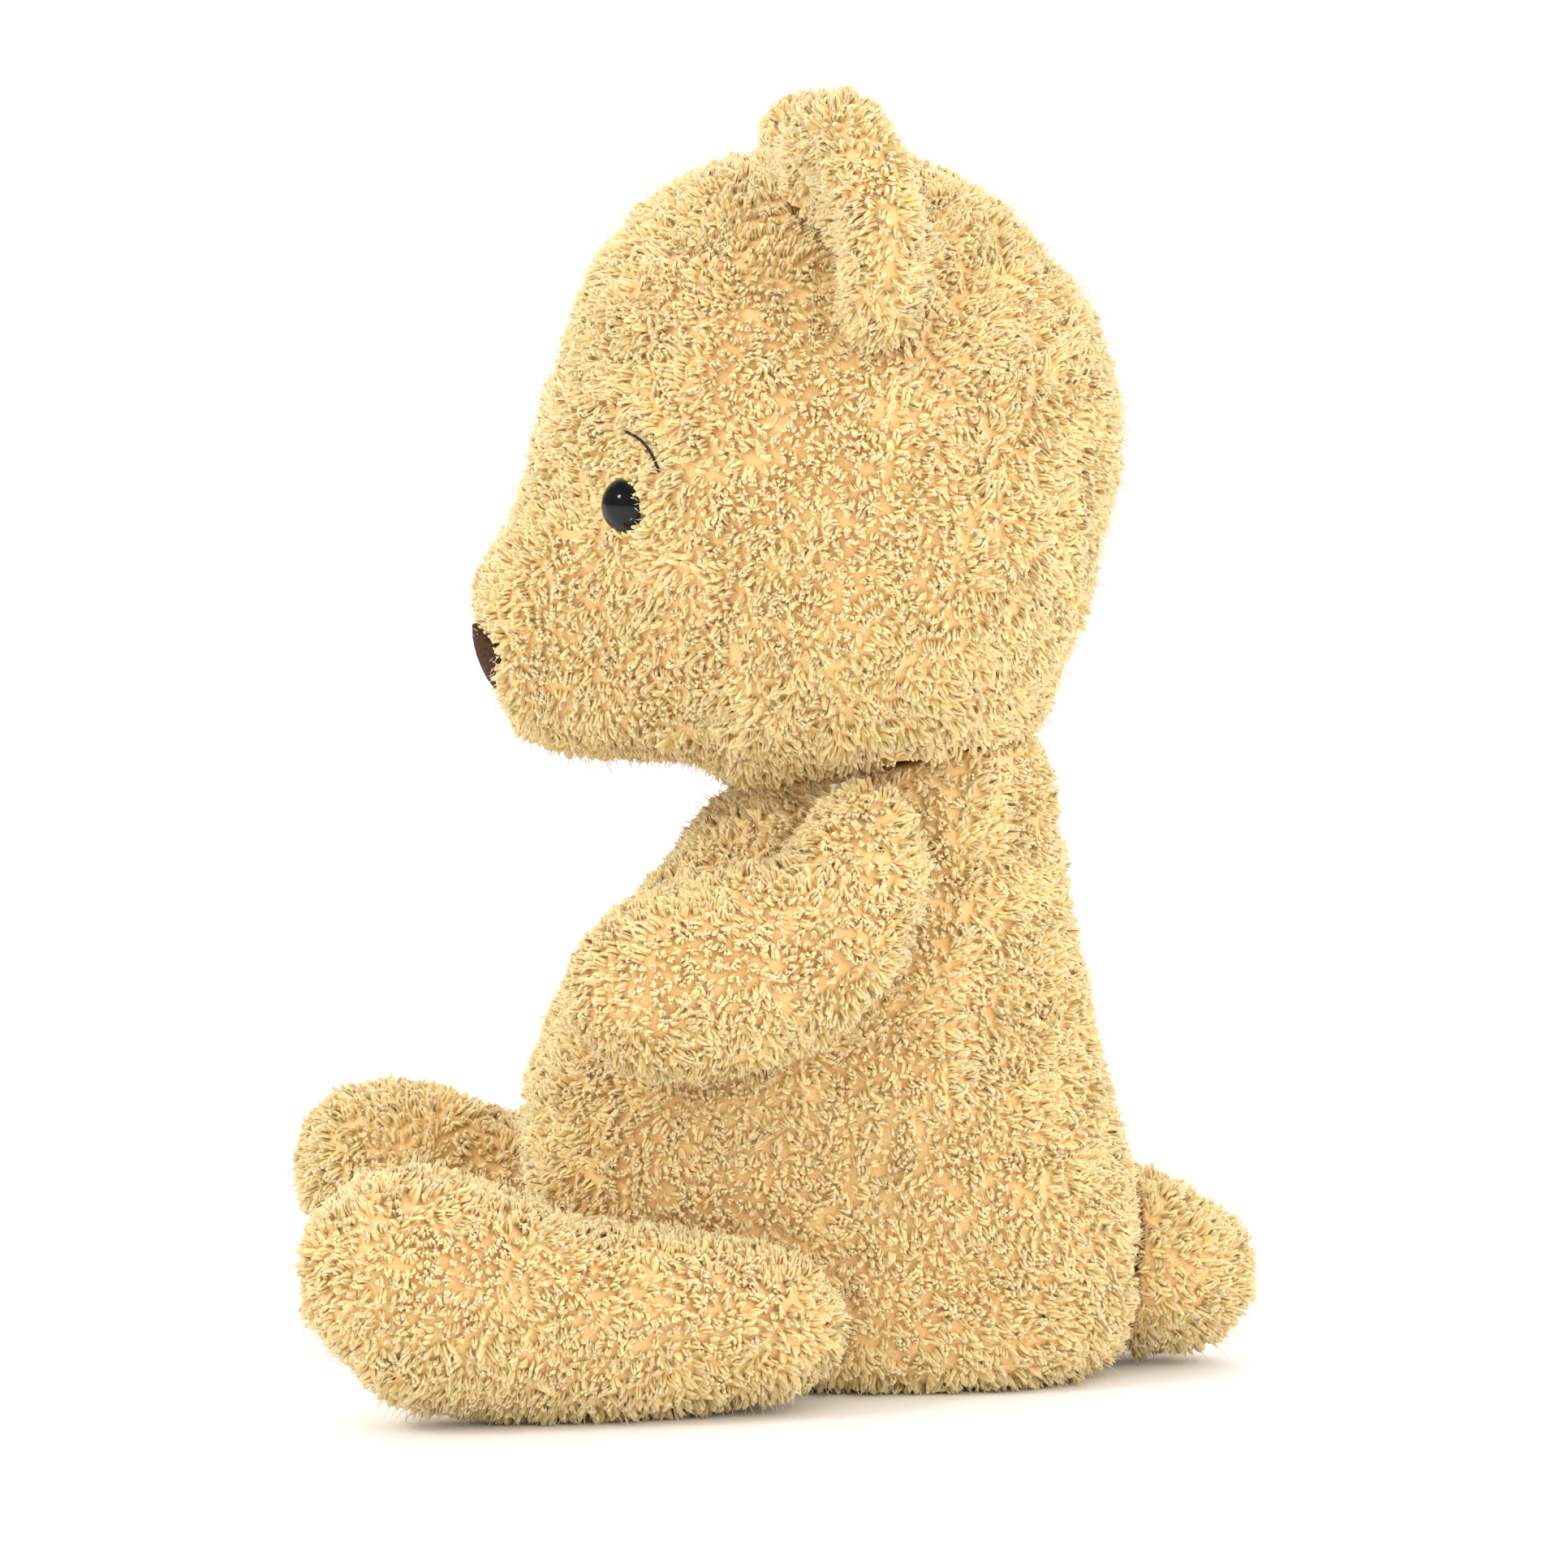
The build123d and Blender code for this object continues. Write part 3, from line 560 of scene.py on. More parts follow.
# ---------------------------------------------------------- roots of the pile
def scatter(points, tris, normals, spacing, seed):
    """Evenly spread roots on a triangle mesh: (points, normals)."""
    rng = np.random.default_rng(seed)
    a, b, c = points[tris[:, 0]], points[tris[:, 1]], points[tris[:, 2]]
    area = np.linalg.norm(np.cross(b - a, c - a), axis=1) / 2
    total = area.sum()
    count = int(total / spacing ** 2 * 2.6)     # candidates, more than there is room for
    pick = rng.choice(len(tris), size=count, p=area / total)
    u, v = rng.random(count), rng.random(count)
    flip = u + v > 1
    u[flip], v[flip] = 1 - u[flip], 1 - v[flip]
    w = 1 - u - v
    u, v, w = u[:, None], v[:, None], w[:, None]
    spots = a[pick] * w + b[pick] * u + c[pick] * v
    corners = tris[pick]
    spot_normals = unit(normals[corners[:, 0]] * w + normals[corners[:, 1]] * u
                        + normals[corners[:, 2]] * v)
    # a grid of cells finds the roots already kept near each candidate
    least = spacing * 0.86
    cell = np.floor(spots / least).astype(np.int64)
    cell -= cell.min(0) - 2
    size = cell.max(0) + 4
    keys = ((cell[:, 0] * size[1] + cell[:, 1]) * size[2] + cell[:, 2]).tolist()
    step_y, step_x = int(size[2]), int(size[1] * size[2])
    around = [dx * step_x + dy * step_y + dz
              for dx in (-1, 0, 1) for dy in (-1, 0, 1) for dz in (-1, 0, 1)]
    grid, keep = {}, []
    spot_list = spots.tolist()
    least_squared = least * least

    def is_crowded(key, x, y, z):
        for step in around:
            for other in grid.get(key + step, ()):
                q = spot_list[other]
                if (q[0] - x) ** 2 + (q[1] - y) ** 2 + (q[2] - z) ** 2 < least_squared:
                    return True
        return False

    for i, (key, spot) in enumerate(zip(keys, spot_list)):
        if not is_crowded(key, *spot):
            grid.setdefault(key, []).append(i)
            keep.append(i)
    keep = np.array(keep)
    return spots[keep], spot_normals[keep]


def nearest_other(roots, others, reach):
    """Distance from each root to the nearest surface of the other pieces, up to reach."""
    nearest = np.full(len(roots), reach)
    for tree, lo, hi in others:
        close = np.all((roots > lo - reach) & (roots < hi + reach), axis=1)
        for i in np.nonzero(close)[0]:
            hit = tree.find_nearest(roots[i], reach)
            if hit[0] is not None and hit[3] < nearest[i]:
                nearest[i] = hit[3]
    return nearest


def search_tree(points, tris):
    return BVHTree.FromPolygons(points.tolist(), tris.tolist(), all_triangles=True)


def skin_tree(ob):
    """A search tree of the skin, with the corners of its box."""
    points = mesh_coords(ob.data)
    return search_tree(points, mesh_triangles(ob.data)), points.min(0), points.max(0)


TREES = {name: skin_tree(ob) for name, ob in SKINS.items()}


def under_nose(roots):
    """Roots that would grow under the nose patch."""
    distance = np.full(len(roots), 1.0)
    margin = 6 * MM
    close = np.all((roots > NOSE_LO - margin) & (roots < NOSE_HI + margin), axis=1)
    patch = NODES["nose_patch"].data
    tree = search_tree(mesh_coords(patch), mesh_triangles(patch))
    for i in np.nonzero(close)[0]:
        hit = tree.find_nearest(roots[i], 10 * MM)
        if hit[0] is not None:
            distance[i] = hit[3]
    return distance < 1.5 * MM


def is_bare(name, roots, normals, near):
    """Where no pile grows: at touching pieces, on joint faces, under the eyes and nose."""
    bare = near < 1.35 * MM
    for point, normal, _ in bearing_faces(name):
        on_face = np.abs((roots - point) @ normal) < 0.9 * MM
        bare |= on_face & (np.abs(normals @ normal) > 0.8)
    if name == "head_skin":
        for _, base, outward in EYES.values():
            offsets = roots - base
            bare |= ((off_axis(offsets, outward) < 4.6 * MM)
                     & (np.linalg.norm(offsets, axis=1) < 9 * MM))
        bare |= under_nose(roots)
    return bare


# ------------------------------------------------------- lie and length of pile
LIE = {      # y and z of the way the pile lies
    "arm": (-0.45, -0.55),
    "leg": (-0.35, -0.5),
    "ear": (0.0, -0.6),
    "tail": (0.7, -0.3),
}
DEFAULT_LIE = (0.25, -0.75)


def behind_eye(roots, side):
    """1 straight behind and outside the eye, -1 on the side of the muzzle."""
    backward = unit(mirrored((0.81, 0.58, -0.35), side))
    away = roots - EYES[side][1]
    return (away @ backward) / np.maximum(np.linalg.norm(away, axis=1), 1e-6)


def nap(name, roots, normals):
    """The way the pile lies: a smooth lie for each piece, stirred into swirls."""
    lie = np.zeros_like(roots)
    lie[:, 1], lie[:, 2] = LIE.get(kind_of(name), DEFAULT_LIE)
    if name == "head_skin":
        # away from the eyes and nose, but back towards the eye from behind it
        for side in SIDES:
            away = roots - EYES[side][1]
            distance = np.linalg.norm(away, axis=1, keepdims=True)
            turn = np.where(behind_eye(roots, side)[:, None] > 0.25, -0.5, 1.0)
            lie += away / distance * 2.2 * turn * gauss(distance, 9 * MM)
        away = roots - (NOSE_MID + np.array([0, 6 * MM, 0]))
        distance = np.linalg.norm(away, axis=1, keepdims=True)
        lie += away / distance * 1.6 * gauss(distance, 26 * MM)
    swirl = waves(roots, 11, 14 * MM, 36 * MM, count=20, dims=3) * 0.80
    clump = waves(roots, 12, 5 * MM, 9 * MM, count=24, dims=3) * 0.42
    lie = lie + swirl + clump
    lie -= (lie * normals).sum(1, keepdims=True) * normals
    return unit(lie)


def pile_length(name, roots):
    length = np.full(len(roots), PILE_LENGTH)
    length *= 1 + 0.12 * wave_height(roots, 13, 6 * MM, 14 * MM)
    kind = kind_of(name)
    if kind == "head":
        # shorter in front of the eyes and round the nose
        for side in SIDES:
            distance = np.linalg.norm(roots - EYES[side][1], axis=1)
            front = 0.5 - 0.5 * behind_eye(roots, side)
            length *= 1 - 0.56 * front * gauss(distance, 8.5 * MM)
        distance = np.linalg.norm((roots - NOSE_MID) * np.array([0.75, 1, 1]), axis=1)
        length *= 1 - 0.22 * gauss(distance, 10 * MM)
    elif kind == "torso":
        # the seat is pressed flat by the floor
        length *= np.where(roots[:, 2] < 1.5 * MM, 0.35, 1.0)
    elif kind == "ear":
        length *= 1.02
    elif kind == "tail":
        length *= 1.12
    return length


# ------------------------------------------------------------ locks of pile
# A lock is a three-sided tapering tube of rings, closed at its root and ending in a tip.
LOCK_SIDES = 3
RING_AT = np.array([0.0, 0.42, 0.82, 1.0])       # along the lock: the rings, then the tip
RING_RADIUS = np.array([0.85, 1.08, 0.90])
RING_GATHER = np.array([1.0, 0.95, 0.66, 0.40])  # the locks of a tuft draw together
RING_TURN = 0.35                                 # twist from ring to ring, radians
RINGS = len(RING_RADIUS)
LOCK_POINTS = RINGS * LOCK_SIDES + 1
ROOT_DEPTH = 0.4 * MM
TUFT_RADIUS = 0.46 * MM                          # of the ring of locks in a tuft


def lock_triangles():
    tris = []
    for j in range(RINGS - 1):
        for s in range(LOCK_SIDES):
            a, b = j * LOCK_SIDES + s, j * LOCK_SIDES + (s + 1) % LOCK_SIDES
            tris += [(a, b, b + LOCK_SIDES), (a, b + LOCK_SIDES, a + LOCK_SIDES)]
    top = (RINGS - 1) * LOCK_SIDES
    for s in range(LOCK_SIDES):
        tris.append((top + s, top + (s + 1) % LOCK_SIDES, RINGS * LOCK_SIDES))
    tris.append((2, 1, 0))
    return np.array(tris)


LOCK_TRIANGLES = lock_triangles()


def lock_paths(rng, strands, roots, normals, lie, length, lean):
    """Centre points and directions along each lock, and random values for its colour.

    The arrays hold one row for each lock; strands locks in a row make a tuft.
    """
    locks = len(roots)
    tufts = locks // strands

    def varied(values, spread):
        return values + rng.normal(0, spread, locks)

    def per_lock(values):
        return np.repeat(values, strands)

    across = np.cross(normals, lie)
    length = length * rng.uniform(0.82, 1.12, locks)
    tuft_shade = per_lock(rng.random(tufts))
    lock_shade = rng.random(locks)
    lean = varied(lean, 0.07)
    heading = varied(per_lock(rng.normal(0, 0.55, tufts)), 0.12)
    twist = varied(per_lock(rng.normal(0, 1.1, tufts)), 0.2)
    bend = varied(per_lock(rng.uniform(0.1, 1.2, tufts)), 0.12)
    place = (np.tile(np.arange(strands) * 2 * math.pi / strands, tufts)
             + per_lock(rng.uniform(0, 2 * math.pi, tufts)))
    spin = per_lock(rng.uniform(-1.7, 1.7, tufts))
    reach = TUFT_RADIUS * rng.uniform(0.8, 1.15, locks)
    if strands == 1:
        reach *= 0

    def tangential(angle):
        return lie * np.cos(angle)[:, None] + across * np.sin(angle)[:, None]

    def offset(j):
        return tangential(place + spin * RING_AT[j]) * (reach * RING_GATHER[j])[:, None]

    spine = roots - normals * ROOT_DEPTH
    centres, directions = [spine + offset(0)], []
    for j in range(1, len(RING_AT)):
        middle = (RING_AT[j] + RING_AT[j - 1]) / 2
        tilt = lean + bend * (middle - 0.2) * 0.9
        direction = (normals * np.cos(tilt)[:, None]
                     + tangential(heading + twist * middle) * np.sin(tilt)[:, None])
        spine = spine + direction * (length * (RING_AT[j] - RING_AT[j - 1]))[:, None]
        centres.append(spine + offset(j))
        directions.append(direction)
    return centres, directions, tuft_shade, lock_shade


def lock_points(centres, directions, across, radius):
    points = np.empty((len(radius), LOCK_POINTS, 3))
    for j in range(RINGS):
        along = directions[j] if j == 0 else unit(directions[j - 1] + directions[j])
        u = unit(across - (across * along).sum(1, keepdims=True) * along)
        v = np.cross(along, u)
        ring_radius = (radius * RING_RADIUS[j])[:, None]
        for s in range(LOCK_SIDES):
            a = 2 * math.pi * s / LOCK_SIDES + j * RING_TURN
            points[:, j * LOCK_SIDES + s] = (
                centres[j] + (u * math.cos(a) + v * math.sin(a)) * ring_radius)
    points[:, -1] = centres[-1]
    points[:, :, 2] = np.maximum(points[:, :, 2], PILE_FLOOR)
    return points


def add_lock_attributes(mesh, locks, tuft_shade, lock_shade):
    along = np.concatenate([np.repeat(RING_AT[:RINGS], LOCK_SIDES), [1.0]])
    around = np.concatenate([np.tile(np.arange(LOCK_SIDES) / LOCK_SIDES, RINGS), [0.5]])
    for name, values in (("pile_t", np.tile(along, locks)),
                         ("pile_around", np.tile(around, locks)),
                         ("pile_tuft", np.repeat(tuft_shade, LOCK_POINTS)),
                         ("pile_lock", np.repeat(lock_shade, LOCK_POINTS))):
        attribute = mesh.attributes.new(name, "FLOAT", "POINT")
        attribute.data.foreach_set("value", values.astype(np.float32))


def add_bake_layout(mesh, locks, tris):
    """Each lock has its own small cell of the layout, root to tip."""
    columns = int(math.ceil(math.sqrt(locks * 4)))
    rows = int(math.ceil(locks / columns))
    column, row = np.arange(locks) % columns, np.arange(locks) // columns
    u = np.concatenate([np.tile(np.linspace(0.2, 0.8, LOCK_SIDES), RINGS), [0.5]])
    v = np.concatenate([np.repeat(RING_AT[:RINGS], LOCK_SIDES), [1.0]]) * 0.76 + 0.12
    uv = np.stack([(column[:, None] + u[None]) / columns,
                   (row[:, None] + v[None]) / rows], axis=2).reshape(-1, 2)
    layer = mesh.uv_layers.new(name="OFBake")
    layer.data.foreach_set("uv", uv[tris.ravel()].astype(np.float32).ravel())


def soften_normals(mesh, points, centres, directions, normals):
    """Soft pile scatters light, so a lock is shaded partly as the surface it stands on."""
    ring_centres = np.repeat(np.stack(centres[:RINGS], axis=1), LOCK_SIDES, axis=1)
    below_tip = (centres[-1] - directions[-1] * 0.3 * MM)[:, None]
    own = unit(points - np.concatenate([ring_centres, below_tip], axis=1))
    soft = unit(0.55 * own + 0.45 * normals[:, None, :] + 0.12 * directions[-1][:, None, :])
    mesh.normals_split_custom_set_from_vertices(
        soft.reshape(-1, 3).astype(np.float32).tolist())


def pile_mesh(name, roots, normals, lie, length, lean, seed,
              strands=STRANDS, radius=LOCK_RADIUS):
    """Curled tapering locks of pile as closed geometry, with their own bake layout."""
    rng = np.random.default_rng(seed)
    roots, normals, lie, length, lean = (
        np.repeat(values, strands, axis=0) for values in (roots, normals, lie, length, lean))
    locks = len(roots)
    centres, directions, tuft_shade, lock_shade = lock_paths(
        rng, strands, roots, normals, lie, length, lean)
    radii = radius * rng.uniform(0.82, 1.2, locks)
    points = lock_points(centres, directions, np.cross(normals, lie), radii)
    first = (np.arange(locks) * LOCK_POINTS)[:, None, None]
    tris = (LOCK_TRIANGLES[None] + first).reshape(-1, 3)
    mesh = triangle_mesh(name, points.reshape(-1, 3), tris)
    add_lock_attributes(mesh, locks, tuft_shade, lock_shade)
    add_bake_layout(mesh, locks, tris)
    soften_normals(mesh, points, centres, directions, normals)
    return mesh


def panels(name, roots, count):
    """Splits a piece's roots into panels of like size: (name ending, root indices)."""
    if count <= 1:
        return [("", np.arange(len(roots)))]
    if name in ("head_skin", "torso_skin"):
        middle = roots.mean(0)
        key = np.arctan2(roots[:, 0] - middle[0], -(roots[:, 1] - middle[1]))
    else:
        key = roots[:, 1]
    order = np.argsort(key, kind="stable")
    return [("_%d" % (i + 1), part) for i, part in enumerate(np.array_split(order, count))]


def grow_pile(index, name, ob):
    """Grows the pile of one skin and returns its objects."""
    spacing = PILE_SPACING * 1.0
    roots, normals = scatter(mesh_coords(ob.data), mesh_triangles(ob.data),
                             mesh_normals(ob.data), spacing, 300 + index)
    others = [TREES[other] for other in SKINS if other != name]
    near = nearest_other(roots, others, 6.5 * MM)
    # close to another piece the pile is shorter and leans over
    room = np.clip((near - 0.6 * MM) / (4.6 * MM), 0.0, 1.0)
    length = pile_length(name, roots) * (0.55 + 0.45 * room)
    lean = 0.34 + 0.20 * wave_height(roots, 14, 5 * MM, 11 * MM) + (1 - room) * 0.35
    lean = np.clip(lean, 0.02, 1.2)
    keep = ~is_bare(name, roots, normals, near)
    roots, normals, length, lean = roots[keep], normals[keep], length[keep], lean[keep]
    lie = nap(name, roots, normals)
    if len(roots) == 0:
        return []
    grown = []
    triangles = len(roots) * STRANDS * len(LOCK_TRIANGLES)
    count = int(math.ceil(triangles / PANEL_TRIANGLES))
    for j, (ending, part) in enumerate(panels(name, roots, count)):
        piece = name.replace("_skin", "_pile") + ending
        mesh = pile_mesh(piece, roots[part], normals[part], lie[part], length[part],
                         lean[part], 500 + index * 11 + j)
        grown.append(new_object(piece, mesh))
    # single loose fibres stand out past the locks and soften the outline
    rng = np.random.default_rng(900 + index)
    loose = rng.random(len(roots)) < 0.75
    fibre_length = length[loose] * rng.uniform(1.15, 1.75, loose.sum())
    piece = name.replace("_skin", "_loose_fibres")
    mesh = pile_mesh(piece, roots[loose], normals[loose], lie[loose], fibre_length,
                     lean[loose] * 0.8, 700 + index, strands=1, radius=FIBRE_RADIUS)
    grown.append(new_object(piece, mesh))
    return grown


PILES = {name: grow_pile(index, name, ob) for index, (name, ob) in enumerate(SKINS.items())}


# --------------------------------------------------------- material helpers
def new_material(name):
    material = bpy.data.materials.new(name)
    material.use_nodes = True
    tree = material.node_tree
    tree.nodes.clear()
    output = tree.nodes.new("ShaderNodeOutputMaterial")
    shader = tree.nodes.new("ShaderNodeBsdfPrincipled")
    tree.links.new(shader.outputs["BSDF"], output.inputs["Surface"])
    return material, tree, shader


def set_inputs(shader, values):
    for name, value in values.items():
        shader.inputs[name].default_value = value


def add_node(tree, kind, **values):
    """A new node; each value sets the input of that name, or else the property."""
    node = tree.nodes.new(kind)
    for key, value in values.items():
        if key in node.inputs:
            node.inputs[key].default_value = value
        else:
            setattr(node, key, value)
    return node


def attribute(tree, name):
    return add_node(tree, "ShaderNodeAttribute", attribute_name=name).outputs["Fac"]


def add_texture(tree, vector, kind="Noise", **values):
    texture = add_node(tree, "ShaderNodeTex" + kind, **values)
    tree.links.new(vector, texture.inputs["Vector"])
    return texture


def ramp(tree, factor, stops):
    """A colour ramp from (position, colour) stops."""
    node = tree.nodes.new("ShaderNodeValToRGB")
    elements = node.color_ramp.elements
    for element, (position, color) in zip((elements[0], elements[1]), (stops[0], stops[-1])):
        element.position = position
        element.color = (*color, 1)
    for position, color in stops[1:-1]:
        elements.new(position).color = (*color, 1)
    tree.links.new(factor, node.inputs[0])
    return node.outputs["Color"]


def math_node(tree, operation, *values):
    node = tree.nodes.new("ShaderNodeMath")
    node.operation = operation
    for i, value in enumerate(values):
        if isinstance(value, (int, float)):
            node.inputs[i].default_value = value
        else:
            tree.links.new(value, node.inputs[i])
    return node.outputs[0]


def scaled(tree, value, gain, offset):
    return math_node(tree, "MULTIPLY_ADD", value, gain, offset)


def multiply_color(tree, factor, a, b):
    node = tree.nodes.new("ShaderNodeMix")
    node.data_type = "RGBA"
    node.blend_type = "MULTIPLY"
    node.inputs[0].default_value = factor
    tree.links.new(a, node.inputs[6])
    tree.links.new(b, node.inputs[7])
    return node.outputs[2]


def add_bump(tree, shader, height, strength, distance):
    bump = add_node(tree, "ShaderNodeBump", Strength=strength, Distance=distance)
    tree.links.new(height, bump.inputs["Height"])
    tree.links.new(bump.outputs["Normal"], shader.inputs["Normal"])


def textured_material(name, stops, texture, roughness, roughness_span=None, bump=None,
                      mottle=None, surface=None):
    """One texture drives colour, and if asked roughness (base and span) and bump.

    bump is (strength, distance) and mottle is (noise scale, strength) of a second, multiplied
    colour noise; surface holds further shader inputs.
    """
    material, tree, shader = new_material(name)
    vector = add_node(tree, "ShaderNodeTexCoord").outputs["Object"]
    factor = add_texture(tree, vector, **texture).outputs["Fac"]
    color = ramp(tree, factor, stops)
    if mottle:
        scale, strength = mottle
        noise = add_texture(tree, vector, Scale=scale, Detail=2.0)
        color = multiply_color(tree, strength, color, noise.outputs["Color"])
    tree.links.new(color, shader.inputs["Base Color"])
    if roughness_span is None:
        shader.inputs["Roughness"].default_value = roughness
    else:
        tree.links.new(scaled(tree, factor, gain=roughness_span, offset=roughness),
                       shader.inputs["Roughness"])
    if bump:
        add_bump(tree, shader, factor, *bump)
    set_inputs(shader, surface or {})
    return material


# ---------------------------------------------------------------- materials
def pile_material():
    material, tree, shader = new_material("honey_pile")
    along = attribute(tree, "pile_t")
    around = attribute(tree, "pile_around")
    tuft = attribute(tree, "pile_tuft")
    lock = attribute(tree, "pile_lock")
    # colour from root to tip: the deeper orange towards the roots is partly the fibres' own
    # colour and partly painted shade, the warm shade that falls between the locks
    root_shade_to_tip = ramp(tree, along, [
        (0.0, (0.97, 0.64, 0.25)), (0.45, (0.965, 0.67, 0.29)),
        (0.80, (0.94, 0.695, 0.345)), (1.0, (0.915, 0.715, 0.415))])
    # hairs: noise drawn out along each lock, different on every one
    hair = tree.nodes.new("ShaderNodeCombineXYZ")
    for i, (value, stretch) in enumerate(((around, 16.0), (along, 1.6), (lock, 300.0))):
        tree.links.new(math_node(tree, "MULTIPLY", value, stretch), hair.inputs[i])
    fine = add_texture(tree, hair.outputs[0], Scale=1.0, Detail=2.0).outputs["Fac"]
    place = add_node(tree, "ShaderNodeTexCoord").outputs["Object"]
    cloud = add_texture(tree, place, Scale=38.0, Detail=3.0).outputs["Fac"]
    # brightness varies by tuft, lock, place and hair
    by_lock = math_node(tree, "ADD", scaled(tree, tuft, gain=0.13, offset=0.90),
                        scaled(tree, lock, gain=0.08, offset=-0.02))
    by_noise = math_node(tree, "ADD", scaled(tree, cloud, gain=0.12, offset=-0.06),
                         scaled(tree, fine, gain=0.22, offset=-0.11))
    shade = add_node(tree, "ShaderNodeHueSaturation")
    tree.links.new(math_node(tree, "ADD", by_lock, by_noise), shade.inputs["Value"])
    tree.links.new(scaled(tree, lock, gain=0.012, offset=0.494), shade.inputs["Hue"])
    tree.links.new(root_shade_to_tip, shade.inputs["Color"])
    tree.links.new(shade.outputs["Color"], shader.inputs["Base Color"])
    tree.links.new(scaled(tree, fine, gain=0.25, offset=0.60), shader.inputs["Roughness"])
    # a lock is a bundle of fine fibres, so light passes through it
    set_inputs(shader, {
        "Specular IOR Level": 0.04,
        "Subsurface Weight": 0.50,
        "Subsurface Radius": (1.0, 0.85, 0.7),
        "Subsurface Scale": 0.0005,
        "Sheen Weight": 0.03,
        "Sheen Roughness": 0.5,
        "Sheen Tint": (1.0, 0.8, 0.5, 1),
    })
    add_bump(tree, shader, fine, strength=0.5, distance=0.00004)
    return material


def backing_and_shade_material():
    # the backing's tan is partly the cloth's own colour and partly painted shade, the deeper
    # orange of the shade in the gaps between the locks
    return textured_material(
        "knitted_backing_and_shade",
        stops=[(0.25, (0.90, 0.60, 0.26)), (0.75, (0.95, 0.68, 0.33))],
        texture=dict(Scale=900.0, Detail=4.0),
        mottle=(60.0, 0.12), roughness=0.95, bump=(0.8, 0.0004))


def suede_material():
    return textured_material(
        "nose_suede",
        stops=[(0.3, (0.035, 0.013, 0.004)), (0.55, (0.065, 0.027, 0.009)),
               (0.8, (0.12, 0.055, 0.02))],
        texture=dict(Scale=1500.0, Detail=5.0, Roughness=0.7),
        mottle=(180.0, 0.4), roughness=0.85, bump=(0.6, 0.0003),
        surface={"Specular IOR Level": 0.15, "Sheen Weight": 0.12,
                 "Sheen Tint": (0.6, 0.36, 0.2, 1)})


def eye_material():
    return textured_material(
        "glossy_black_eye",
        stops=[(0.3, (0.004, 0.004, 0.005)), (0.7, (0.010, 0.009, 0.009))],
        texture=dict(Scale=700.0, Detail=3.0),
        roughness=0.03, roughness_span=0.05, bump=(0.03, 0.0001),
        surface={"Specular IOR Level": 0.30})


def simple_material(name, dark, light, texture, roughness, bump_distance):
    return textured_material(name, stops=[(0.25, dark), (0.75, light)], texture=texture,
                             roughness=roughness, roughness_span=0.12,
                             bump=(0.5, bump_distance))


def noise(scale):
    return dict(Scale=scale, Detail=4.0)


def wave(scale, distortion):
    return dict(kind="Wave", Scale=scale, Distortion=distortion, Detail=2.0)


PILE = pile_material()
BACKING_AND_SHADE = backing_and_shade_material()
SUEDE = suede_material()
EYE = eye_material()
THREAD = simple_material(
    "black_thread", dark=(0.008, 0.007, 0.006), light=(0.03, 0.026, 0.022),
    texture=noise(2200.0), roughness=0.6, bump_distance=0.0001)
PLASTIC = simple_material(
    "moulded_joint_plastic", dark=(0.78, 0.77, 0.72), light=(0.86, 0.85, 0.80),
    texture=noise(400.0), roughness=0.42, bump_distance=0.00005)
FIBRE = simple_material(
    "polyester_fibre", dark=(0.80, 0.80, 0.78), light=(0.95, 0.95, 0.94),
    texture=wave(500.0, distortion=12.0), roughness=0.85, bump_distance=0.0006)
WEAVE = simple_material(
    "bag_weave", dark=(0.74, 0.71, 0.62), light=(0.90, 0.87, 0.79),
    texture=wave(900.0, distortion=1.0), roughness=0.88, bump_distance=0.0002)
BEANS = simple_material(
    "plastic_beans", dark=(0.70, 0.71, 0.70), light=(0.95, 0.95, 0.93),
    texture=noise(300.0), roughness=0.35, bump_distance=0.0012)

SLOT_MATERIAL = {
    "joint_plastic": PLASTIC, "polyester_fibre": FIBRE, "eye_black": EYE, "nose_suede": SUEDE,
    "brow_thread": THREAD, "bag_cloth": WEAVE, "plastic_beans": BEANS, "plush": BACKING_AND_SHADE,
}


def dress(ob, material, body, slot, *replaced):
    """Gives a piece its material and the body it rides, and hides the nodes it replaces; slot is
    not used.
    """
    ob.data.materials.append(material)
    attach(ob, body)
    if replaced:
        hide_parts(*replaced)


for part in frame["record"]["subparts"]:
    ob = NODES.get(part["node"])
    if ob is not None:
        for material_slot in ob.material_slots:
            material_slot.material = SLOT_MATERIAL[part["material_slot"]]

for name, ob in SKINS.items():
    body, replaced, _ = PIECES[name]
    dress(ob, BACKING_AND_SHADE, body, "plush", *replaced)
for name, grown in PILES.items():
    for ob in grown:
        dress(ob, PILE, PIECES[name][0], "plush")


# ----------------------------------------------------------- rings of points
def ring(centre, u, w, radius, count):
    angles = [2 * math.pi * k / count for k in range(count)]
    return [centre + (u * math.cos(a) + w * math.sin(a)) * radius for a in angles]


def ring_quads(rings, count):
    """Faces between successive rings of count points."""
    quads = []
    for i in range(rings - 1):
        for k in range(count):
            a, b = i * count + k, i * count + (k + 1) % count
            quads.append((a, b, b + count, a + count))
    return quads


def lathe(profile, axis, origin, steps=64):
    """A surface of revolution about axis from (radius, height) points."""
    u = unit(np.cross(axis, np.array([0, 0, 1.0])))
    w = np.cross(axis, u)
    points = []
    for radius, height in profile:
        points += ring(origin + axis * height, u, w, radius, steps)
    mesh = face_mesh("lathe", points, ring_quads(len(profile), steps))
    bm = bmesh.new()
    bm.from_mesh(mesh)
    bmesh.ops.remove_doubles(bm, verts=bm.verts, dist=1e-7)
    bmesh.ops.recalc_face_normals(bm, faces=bm.faces)
    bm.to_mesh(mesh)
    bm.free()
    set_smooth(mesh)
    return mesh


